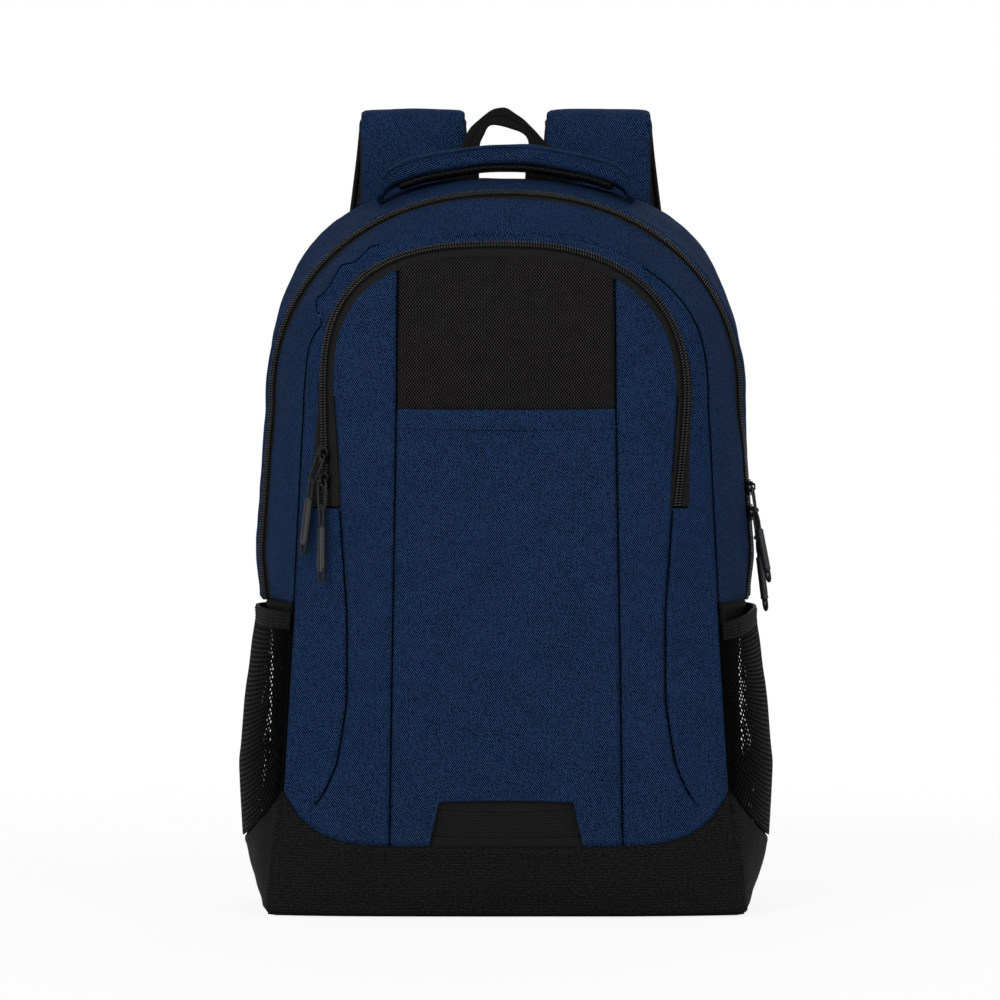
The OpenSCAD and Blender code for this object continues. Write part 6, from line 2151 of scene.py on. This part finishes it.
# ---------------------------------------------------------------------------------------------
# Shoulder straps
# ---------------------------------------------------------------------------------------------
@dataclass
class ShoulderStrap:
    """A padded strap with its net underside, its piping and its adjustable webbing."""

    side: int
    strap_x: float = 61.0
    root_y: float = 90.3
    top_z: float = 522.0
    joint_z: float = 496.0
    pad_t: float = 9.0
    net_half_t: float = 1.5
    piping: float = 1.7
    step: float = 2.5
    webbing_half: float = 12.5
    webbing_t: float = 0.8
    lock_place: tuple = (107, 147.3, 218.0)
    lock_out: tuple = (0, .938013, -.3466)
    lock_across: tuple = (-.987691, -.0542152, -.146724)
    lock_up: tuple = (-.15642, .342333, .926467)

    def rows(self) -> Array:
        """The strap's middle, its direction towards the wearer and its width."""
        x, y, z = self.strap_x, self.root_y, self.top_z
        return np.array([
            (x, y, 416, 0, 1, 0, 70), (x, y + 1, 440, 0, 1, -.06, 70), (x, y + 4, 472, 0, 1, -.15, 70),
            (x, y + 8.5, 496, 0, 1, -.35, 70), (x + 1, y + 13, z - 13, 0, 1, -.6, 70),
            (x + 1, y + 24, z - 6.5, 0, .35, -1, 70), (x + 2, y + 41, z - 6.5, 0, -.25, -1, 69),
            (x + 4, y + 57, z - 17, 0, -.9, -1, 68), (x + 7, y + 70, z - 41, 0, -1, -.4, 68),
            (x + 13, y + 79, 430, 0, -1, -.12, 70), (x + 22, y + 83, 375, 0, -1, 0, 70),
            (x + 31, y + 80, 320, 0, -1, .12, 64), (x + 39, y + 72, 270, 0, -1, .2, 57),
            (x + 45, y + 61, 230, 0, -1, .28, 46)], float)

    def _run(self, root: bool) -> tuple[Array, Array, Array, Array, float]:
        """Middle, directions across and towards the wearer, half width and starting length of a part."""
        path = curve_through(self.rows(), self.step)
        length = run_of(path[:, :3])
        split = length[np.argmin(np.abs(path[:len(path) // 2, 2] - self.joint_z))]
        cut = int(split / self.step)
        places = np.concatenate([np.linspace(0, split, cut + 1),
                                 np.linspace(split, length[-1], int((length[-1] - split) / self.step))[1:]])
        path = np.stack([np.interp(places, length, path[:, k]) for k in range(7)], 1)
        middle, toward, half = path[:, :3] * [self.side, 1, 1], unit(path[:, 3:6]), path[:, 6] / 2
        ahead = heading(middle)
        across = unit(np.cross(toward, ahead))
        part = slice(0, cut + 1) if root else slice(cut, None)
        return middle[part], across[part], unit(np.cross(ahead, across))[part], half[part], 0.0 if root else split

    def _part(self, root: bool, name: str) -> list[bpy.types.Object]:
        """The pad, the net, the piping and the stitches of the part before or after the joint."""
        middle, across, toward, half, start = self._run(root)
        tag = side_name(self.side)

        def quilt(points: Array, angle: Array) -> Array:
            """Soft waves, with the cloth pulled in along the sewn edges."""
            return waves(points, 38, 41) * 0.5 - 0.6 * bell(np.sin(angle), 0.0, 0.3)

        caps = (3.0, 0.0) if root else (0.0, 3.0)
        pad = swept(f"{name}_pad_{tag}", middle - toward * 1.3, across, toward, half, self.pad_t / 2, Finish.NAVY,
                    64, (0.3, 0.6), caps, quilt, start)
        net = swept(f"{name}_net_{tag}", middle + toward * 4.3, across, toward, half - 3.0, self.net_half_t,
                    Finish.SPACER, 48, (0.3, 0.8), caps, None, start)
        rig.padded(pad, fill=0.7)
        made = [pad, net]
        for mark, edge in (("a", -1), ("b", 1)):
            line = middle + across * (edge * (half - 0.9))[:, None] + toward * 2.6
            made.append(tube(f"{name}_piping_{tag}_{mark}", line, self.piping, Finish.BINDING))
            stitches = middle + across * (edge * (half - 3.4))[:, None] - toward * (self.pad_t / 2 + 0.6)
            made.append(ROW.lay(f"{name}_stitches_{tag}_{mark}", stitches[2:-2], -toward[2:-2], 3.0,
                                Finish.THREAD, **FINE_STITCH))
        return made

    def build(self) -> None:
        """Makes the root on the bag, the strap over it, and the webbing."""
        tag = side_name(self.side)
        body = f"strap_{tag}"
        root = self._part(True, "strap_root")
        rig.replaces(root[0], "strap_bases")
        for piece in root:
            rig.blend(piece, "bag", body, (0, 0.0945, 0.470), (0, 0.0985, 0.496))
        over = self._part(False, "strap_over")
        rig.replaces(over[0], f"strap_pad_{tag}")
        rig.replaces(over[1], f"strap_mesh_{tag}")
        for piece in over:
            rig.ride(piece, body)
        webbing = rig.ride(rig.replaces(self._webbing(), f"strap_webbing_{tag}"), body)
        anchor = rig.replaces(self._anchor(), "strap_anchors")
        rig.blend(anchor, "bag", body, (0, 0.09, 0.046), (0, 0.09, 0.064))
        announce(*root, *over, webbing, anchor)

    def _flat(self, rows: Sequence[Sequence[float]]) -> bpy.types.Object:
        """A run of webbing through rows of places and width directions."""
        path = curve_through(rows, 1.5)
        middle = path[:, :3] * [self.side, 1, 1]
        across = unit(path[:, 3:6] * [self.side, 1, 1])
        ahead = heading(middle)
        face = unit(np.cross(ahead, across))
        return swept("run", middle, unit(np.cross(face, ahead)), face, self.webbing_half, self.webbing_t,
                     Finish.WEBBING, 24, (0.2, 0.55), relief=lambda points, _: waves(points, 11, 51) * 0.1)

    def _webbing(self) -> bpy.types.Object:
        """The webbing from the anchor through the lock, its loose tail and the loop on the pad."""
        lock, out, up = np.array(self.lock_place), np.array(self.lock_out), np.array(self.lock_up)
        low, far = np.array([133.05, 90.6, 64.3]), lock - up * 26
        start = [[*mix(low, far, share), *self.lock_across] for share in (0.0, 0.3, 0.7)]
        runs = (((-1.2, -30), (-2.3, -21), (-0.2, -15.2), (2.9, -10), (3.0, -6.5)),
                ((2.6, -7.0), (3.4, -14), (3.2, -24), (3.6, -36), (4.4, -50), (4.6, -61)),
                ((0.0, -2.9), (-2.6, -1.4), (-2.8, 0.8), (-1.2, 3.0), (-0.5, 8), (-0.5, 13)),
                ((0.0, -2.9), (2.6, -1.4), (2.8, 0.8), (1.2, 3.0), (0.9, 8), (0.9, 13)),
                ((3.6, -58.5), (3.6, -60.5), (4.3, -61.9), (5.2, -60.5), (5.2, -54)))
        rows = [[[*(lock + out * x + up * z), *self.lock_across] for x, z in run] for run in runs]
        pieces = [self._flat(row) for row in ([*start, *rows[0]], *rows[1:])]
        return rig.slot(join(f"strap_webbing_{side_name(self.side)}_run", pieces), "black_webbing")

    def _anchor(self) -> bpy.types.Object:
        """The folded triangle in the back's lower corner and the webbing's foot in it."""
        run = self._flat([[136, 84.9, 36, 1, 0, 0], [136, 85.1, 46, 1, 0, 0], [135.2, 87.2, 56, .98, 0, .1],
                          [133.05, 90.6, 64.6, *np.negative(self.lock_across)]])
        x, z = np.meshgrid(np.linspace(0, 1, 16), np.linspace(0, 1, 20), indexing="ij")
        px = mix(mix(122, 142.0, smoothstep(1 - z) * 0.72), 149.0, x)
        pz = mix(47.5 + 3 * x, 20.0, 1 - z)
        y = 84.6 + 2.2 * bell(px, 136, 12) * (z ** 0.5)
        fold = Cloth("fold", np.stack([px * self.side, y, pz], -1), Finish.RIBBED, (F, F, F, F), 2.2, spread(px, pz),
                     inside=(0, 0, 40), creases=0.2).build()
        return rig.slot(join(f"strap_anchor_{side_name(self.side)}", [run, fold]), "black_webbing")


# ---------------------------------------------------------------------------------------------
# Back
# ---------------------------------------------------------------------------------------------
@dataclass
class BackSide:
    """The back panel, its pads and the yoke that holds the straps. Boxes are x and z edges."""

    pads: tuple[tuple[str, Box], ...] = (("low", (17, 125, 132, 263)), ("high", (17, 125, 271, 402)))
    lumbar: Box = (-111, 111, 34, 122)
    sewn: tuple[float, float] = (0.36, 0.68)
    thick: float = 9.0
    corner: float = 0.42
    foot_y: float = FORM.back_y + 0.3
    panel_arch: tuple[float, float, int] = (148.2, 140.2, 3)
    panel_inset: float = 2.8
    around: int = 72
    steps: tuple = ((1.8, 0.1), (0.5, 0.22), (0.0, 0.42), (0.9, 0.66), (3.0, 0.85), (6.5, 0.96), (12, 1.0),
                    (20, 1.0), (30, 1.0), (42, 1.0))

    def panel(self) -> bpy.types.Object:
        """The flat panel behind the pads, with its seam to the wall."""
        fold = FORM.fold_z
        z = np.concatenate([mix(4.0, fold, ladder(321, 5.0, (True, False))),
                            mix(fold, 465.2, 1 - (1 - np.linspace(0, 1, 50)) ** 1.8)[1:]])
        a, b, n = self.panel_arch
        over = a * np.maximum(0, 1 - (np.maximum(z - fold, 0) / b) ** n) ** (1 / n)
        half = np.maximum(np.where(z < fold, FORM.rear_x(z) - self.panel_inset, over), 8.0)[:, None]
        x, z = np.broadcast_arrays(half * (ladder(280, 5.0) * 2 - 1)[None, :], z[:, None])
        grid = np.stack([x, np.full_like(x, FORM.back_y - 0.2), z], -1)
        made = Cloth("back_panel_cloth", grid, Finish.SPACER, (S, S, S, S), 3.4, np.stack([x, z], -1),
                     creases=0.35, groove=0.9, lining=Finish.LINING).build()
        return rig.ride(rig.replaces(made, "back_panel"), "bag")

    def _round(self, t: Array, box: Box, inset: float) -> tuple[Array, Array]:
        """The x and z, at angles t, of a box with round corners, inset from its edges."""
        x0, x1, z0, z1 = box
        (c, s), half = (np.cos(t), np.sin(t)), [max(size / 2 - inset, 1.5) for size in (x1 - x0, z1 - z0)]
        return ((x0 + x1) / 2 + half[0] * np.sign(c) * np.abs(c) ** self.corner,
                (z0 + z1) / 2 + half[1] * np.sign(s) * np.abs(s) ** self.corner)

    def cushion(self, name: str, box: Box, sew: Sequence[float]) -> bpy.types.Object:
        """A crowned pad on the back.

        Args:
            name: The piece's name.
            box: Its edges.
            sew: Heights where it is sewn through.

        Returns:
            The object.
        """
        work = bmesh.new()
        t = np.linspace(0, 2 * math.pi, self.around, endpoint=False)
        rings = []
        for inset, rise in self.steps:
            x, z = self._round(t, box, inset)
            y = self.foot_y + self.thick * rise + 0 * x
            if inset > 2:
                for height in sew:
                    y -= 3.4 * bell(z, height, 3.2) * min(1, inset / 12)
            rings.append([work.verts.new(Vector(p)) for p in np.stack([x, y, z], -1) * MM])
        for low, high in zip(rings, rings[1:]):
            for k in range(self.around):
                after = (k + 1) % self.around
                work.faces.new((low[k], low[after], high[after], high[k]))
        work.faces.new(rings[-1])
        work.faces.new(rings[0][::-1])
        bmesh.ops.recalc_face_normals(work, faces=work.faces)
        mesh = bpy.data.meshes.new(name)
        work.to_mesh(mesh)
        work.free()
        made = link(name, mesh)
        inflate(made, self.foot_y, sew)
        mesh = made.data
        while mesh.uv_layers:
            mesh.uv_layers.remove(mesh.uv_layers[0])
        lay_cloth(mesh, points_of(mesh)[:, [0, 2]])
        mesh.materials.clear()
        mesh.materials.append(WARDROBE.get(Finish.SPACER))
        mesh.polygons.foreach_set("use_smooth", [True] * len(mesh.polygons))
        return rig.slot(made, "black_mesh")

    def piping(self, name: str, box: Box) -> bpy.types.Object:
        """The corded edge round the foot of a pad."""
        x, z = self._round(np.linspace(0, 2 * math.pi, 160), box, -1.0)
        (points,) = even(np.stack([x, np.full_like(x, FORM.back_y + 1.6), z], -1), 3.0)
        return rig.ride(tube(name, points, 1.5, Finish.RIBBED), "bag")

    def _pad(self, name: str, piping: str, node: str, box: Box, sew: Sequence[float] = ()) -> None:
        """A cushion in the place of a node, with its piping."""
        pad = self.cushion(name, box, [mix(box[2], box[3], share) for share in sew])
        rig.ride(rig.replaces(pad, node), "bag")
        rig.padded(pad, fill=0.6)
        announce(pad, self.piping(piping, box))

    def yoke(self) -> bpy.types.Object:
        """The navy reinforcement over the straps' roots."""
        z = mix(408.0, 444.0, ladder(36, 2.0))[:, None]
        half = 101 - 8 * np.clip(1 - (z - 408) / 8, 0, 1) - 4 * np.clip((z - 416) / 28, 0, 1)
        x, z = np.broadcast_arrays(half * (ladder(200, 3.0) * 2 - 1)[None, :], z)
        grid = np.stack([x, np.full_like(x, FORM.back_y + 3.3), z], -1)
        made = Cloth("strap_yoke_cloth", grid, Finish.NAVY, (H, H, H, H), 2.9, np.stack([x, z], -1),
                     creases=0.3).build()
        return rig.ride(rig.replaces(made, "strap_yoke"), "bag")

    def build(self) -> None:
        """Makes everything on the back."""
        announce(self.panel(), self.yoke())
        for level, (x0, x1, z0, z1) in self.pads:
            for side in (-1, 1):
                low, high = sorted((side * x0, side * x1))
                tag = f"{level}_{side_name(side)}"
                self._pad(f"back_pad_{tag}", f"back_piping_{tag}", "back_pads", (low, high, z0, z1), self.sewn)
        self._pad("lumbar_cushion", "lumbar_piping", "lumbar_pad", self.lumbar)


PUFF_VOXEL = 5.0
PUFF_REACH = 6.0
PUFF_PRESSURE = 4.0
PUFF_FRAMES = 20


def inflate(made: bpy.types.Object, floor_y: float, sew: Sequence[float]) -> None:
    """Blows a closed pad up as cloth, and keeps its back flat.

    Args:
        made: The pad.
        floor_y: The y of the surface that the pad is sewn to.
        sew: Heights where it is sewn through, which stay in place.
    """
    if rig.quick():
        return
    scene = bpy.context.scene
    remesh = made.modifiers.new("remesh", "REMESH")
    remesh.mode, remesh.voxel_size = "VOXEL", PUFF_VOXEL * MM
    mesh = evaluated(made)
    made.modifiers.clear()
    made.data = mesh
    start = points_of(mesh)
    held = np.clip(1 - (start[:, 1] / MM - floor_y - 0.6) / 1.5, 0, 1)
    for z in sew:
        held = np.maximum(held, bell(start[:, 2] / MM, z, 2.5))
    group = made.vertex_groups.new(name="held")
    for k, weight in enumerate(held):
        group.add([k], float(weight), "REPLACE")
    cloth = made.modifiers.new("cloth", "CLOTH")
    settings = cloth.settings
    settings.use_pressure, settings.uniform_pressure_force = True, PUFF_PRESSURE
    settings.effector_weights.gravity = 0.0
    settings.vertex_group_mass = "held"
    settings.quality = 4
    cloth.point_cache.frame_start, cloth.point_cache.frame_end = 1, PUFF_FRAMES
    for k in range(1, PUFF_FRAMES + 1):
        scene.frame_set(k)
    puffed = evaluated(made)
    move = points_of(puffed) - start
    move *= np.minimum(1, PUFF_REACH * MM / np.maximum(np.linalg.norm(move, axis=1, keepdims=True), TINY))
    final = start + move
    final[:, 1] = np.maximum(final[:, 1], floor_y * MM)
    made.modifiers.clear()
    puffed.vertices.foreach_set("co", final.astype(np.float32).ravel())
    made.data = puffed
    smooth = made.modifiers.new("smooth", "SUBSURF")
    smooth.levels = smooth.render_levels = 1
    rounded = evaluated(made)
    made.modifiers.clear()
    made.data = rounded
    made.vertex_groups.clear()
    scene.frame_set(1)


# ---------------------------------------------------------------------------------------------
# Stage
# ---------------------------------------------------------------------------------------------
@dataclass
class Studio:
    """The camera, the pale floor and the soft light."""

    place: tuple[float, float, float] = (-0.0038, -2.6, 0.26)
    aim: tuple[float, float, float] = (0.0, 0.0, 0.25)
    lens: float = 146.0
    sensor: float = 36.0
    clip: tuple[float, float] = (0.05, 60.0)
    lamps: tuple = (("key", (-1.35, -2.3, 1.75), 1.3, 34.0), ("fill", (1.9, -1.9, 1.1), 1.8, 13.0),
                    ("top", (0.0, 0.1, 2.4), 1.6, 5.0), ("back", (0.3, 2.3, 1.5), 2.0, 16.0))
    soft_light: tuple = (0.97, 0.985, 1, 1)
    soft_power: float = 0.46
    floor_half: float = 20.0
    floor_white: tuple[float, float] = (0.88, 0.12)
    floor_reach: tuple[float, float] = (0.45, 1.3)

    def camera(self) -> None:
        """The camera, level and in front of the bag."""
        data = bpy.data.cameras.new("camera")
        data.lens, data.sensor_width = self.lens, self.sensor
        data.clip_start, data.clip_end = self.clip
        made = link("camera", data)
        made.location, made.rotation_euler = self.place, (math.pi / 2, 0, 0)
        bpy.context.scene.camera = made

    def light(self) -> None:
        """Large soft lamps all round."""
        for name, place, size, power in self.lamps:
            data = bpy.data.lights.new(name, "AREA")
            data.shape, data.size, data.energy = "DISK", size, power
            made = link(name, data)
            made.location = place
            made.rotation_euler = (Vector(self.aim) - Vector(place)).to_track_quat("-Z", "Y").to_euler()

    def world(self) -> None:
        """White where the camera sees it, and a soft grey light elsewhere."""
        world = bpy.data.worlds.new("studio")
        world.use_nodes = True
        bpy.context.scene.world = world
        tree = world.node_tree
        tree.nodes.clear()
        rays = add_node(tree, "ShaderNodeLightPath").outputs
        seen = add_node(tree, "ShaderNodeBackground", {0: (1, 1, 1, 1), 1: 1.0})
        soft = add_node(tree, "ShaderNodeBackground", {0: self.soft_light, 1: self.soft_power})
        either = add_node(tree, "ShaderNodeMath", {0: rays["Is Camera Ray"], 1: rays["Is Transmission Ray"]},
                          operation="MAXIMUM")
        shader = add_node(tree, "ShaderNodeMixShader",
                          {0: either.outputs[0], 1: soft.outputs[0], 2: seen.outputs[0]})
        add_node(tree, "ShaderNodeOutputWorld", {0: shader.outputs[0]})

    def floor(self) -> None:
        """A wide floor that looks white and keeps the bag's shadow."""
        shade = Shade("floor_paint")
        shade.finish((0.93, 0.93, 0.93), 0.9, specular=0.1)
        glow = shade.node("ShaderNodeEmission", {"Color": (1, 1, 1, 1), "Strength": 1.0})
        away = shade.node("ShaderNodeVectorMath", {0: shade.node("ShaderNodeNewGeometry", output="Position")},
                          "Value", operation="LENGTH")
        seen = Value(shade, shade.node("ShaderNodeLightPath", output="Is Camera Ray"))
        near, more = self.floor_white
        share = seen * (Value(shade, away).ramp(*self.floor_reach) * more + near)
        both = shade.node("ShaderNodeMixShader", {0: share, 1: shade.surface.outputs[0], 2: glow})
        connect(shade.tree, shade.output, {"Surface": both})
        mesh = bpy.data.meshes.new("floor")
        half = self.floor_half
        mesh.from_pydata([(-half, -half, 0), (half, -half, 0), (half, half, 0), (-half, half, 0)], [], [(0, 1, 2, 3)])
        mesh.materials.append(shade.material)
        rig.stage(link("floor", mesh))

    def build(self) -> None:
        """Makes the whole stage."""
        self.camera()
        self.light()
        self.world()
        self.floor()
        bpy.context.scene.view_settings.view_transform = "Standard"


def main() -> None:
    """Builds the bag, part by part, and writes its size."""
    logging.basicConfig(level=logging.INFO, format="%(name)s: %(message)s")
    packed = [list(corner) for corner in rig.bounds()]
    Studio().build()
    FrontBody().build()
    Walls().build()
    SidePockets().build()
    Zips().build()
    Hardware().build()
    TopHandle().build()
    HangLoop().build()
    for side in (-1, 1):
        ShoulderStrap(side).build()
    BackSide().build()
    with open(SIZE_FILE, "w") as file:
        json.dump({"cad": packed, "visual": [list(corner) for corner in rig.bounds()]}, file)
    LOG.info("made the whole bag")


if __name__ == "__main__":
    main()
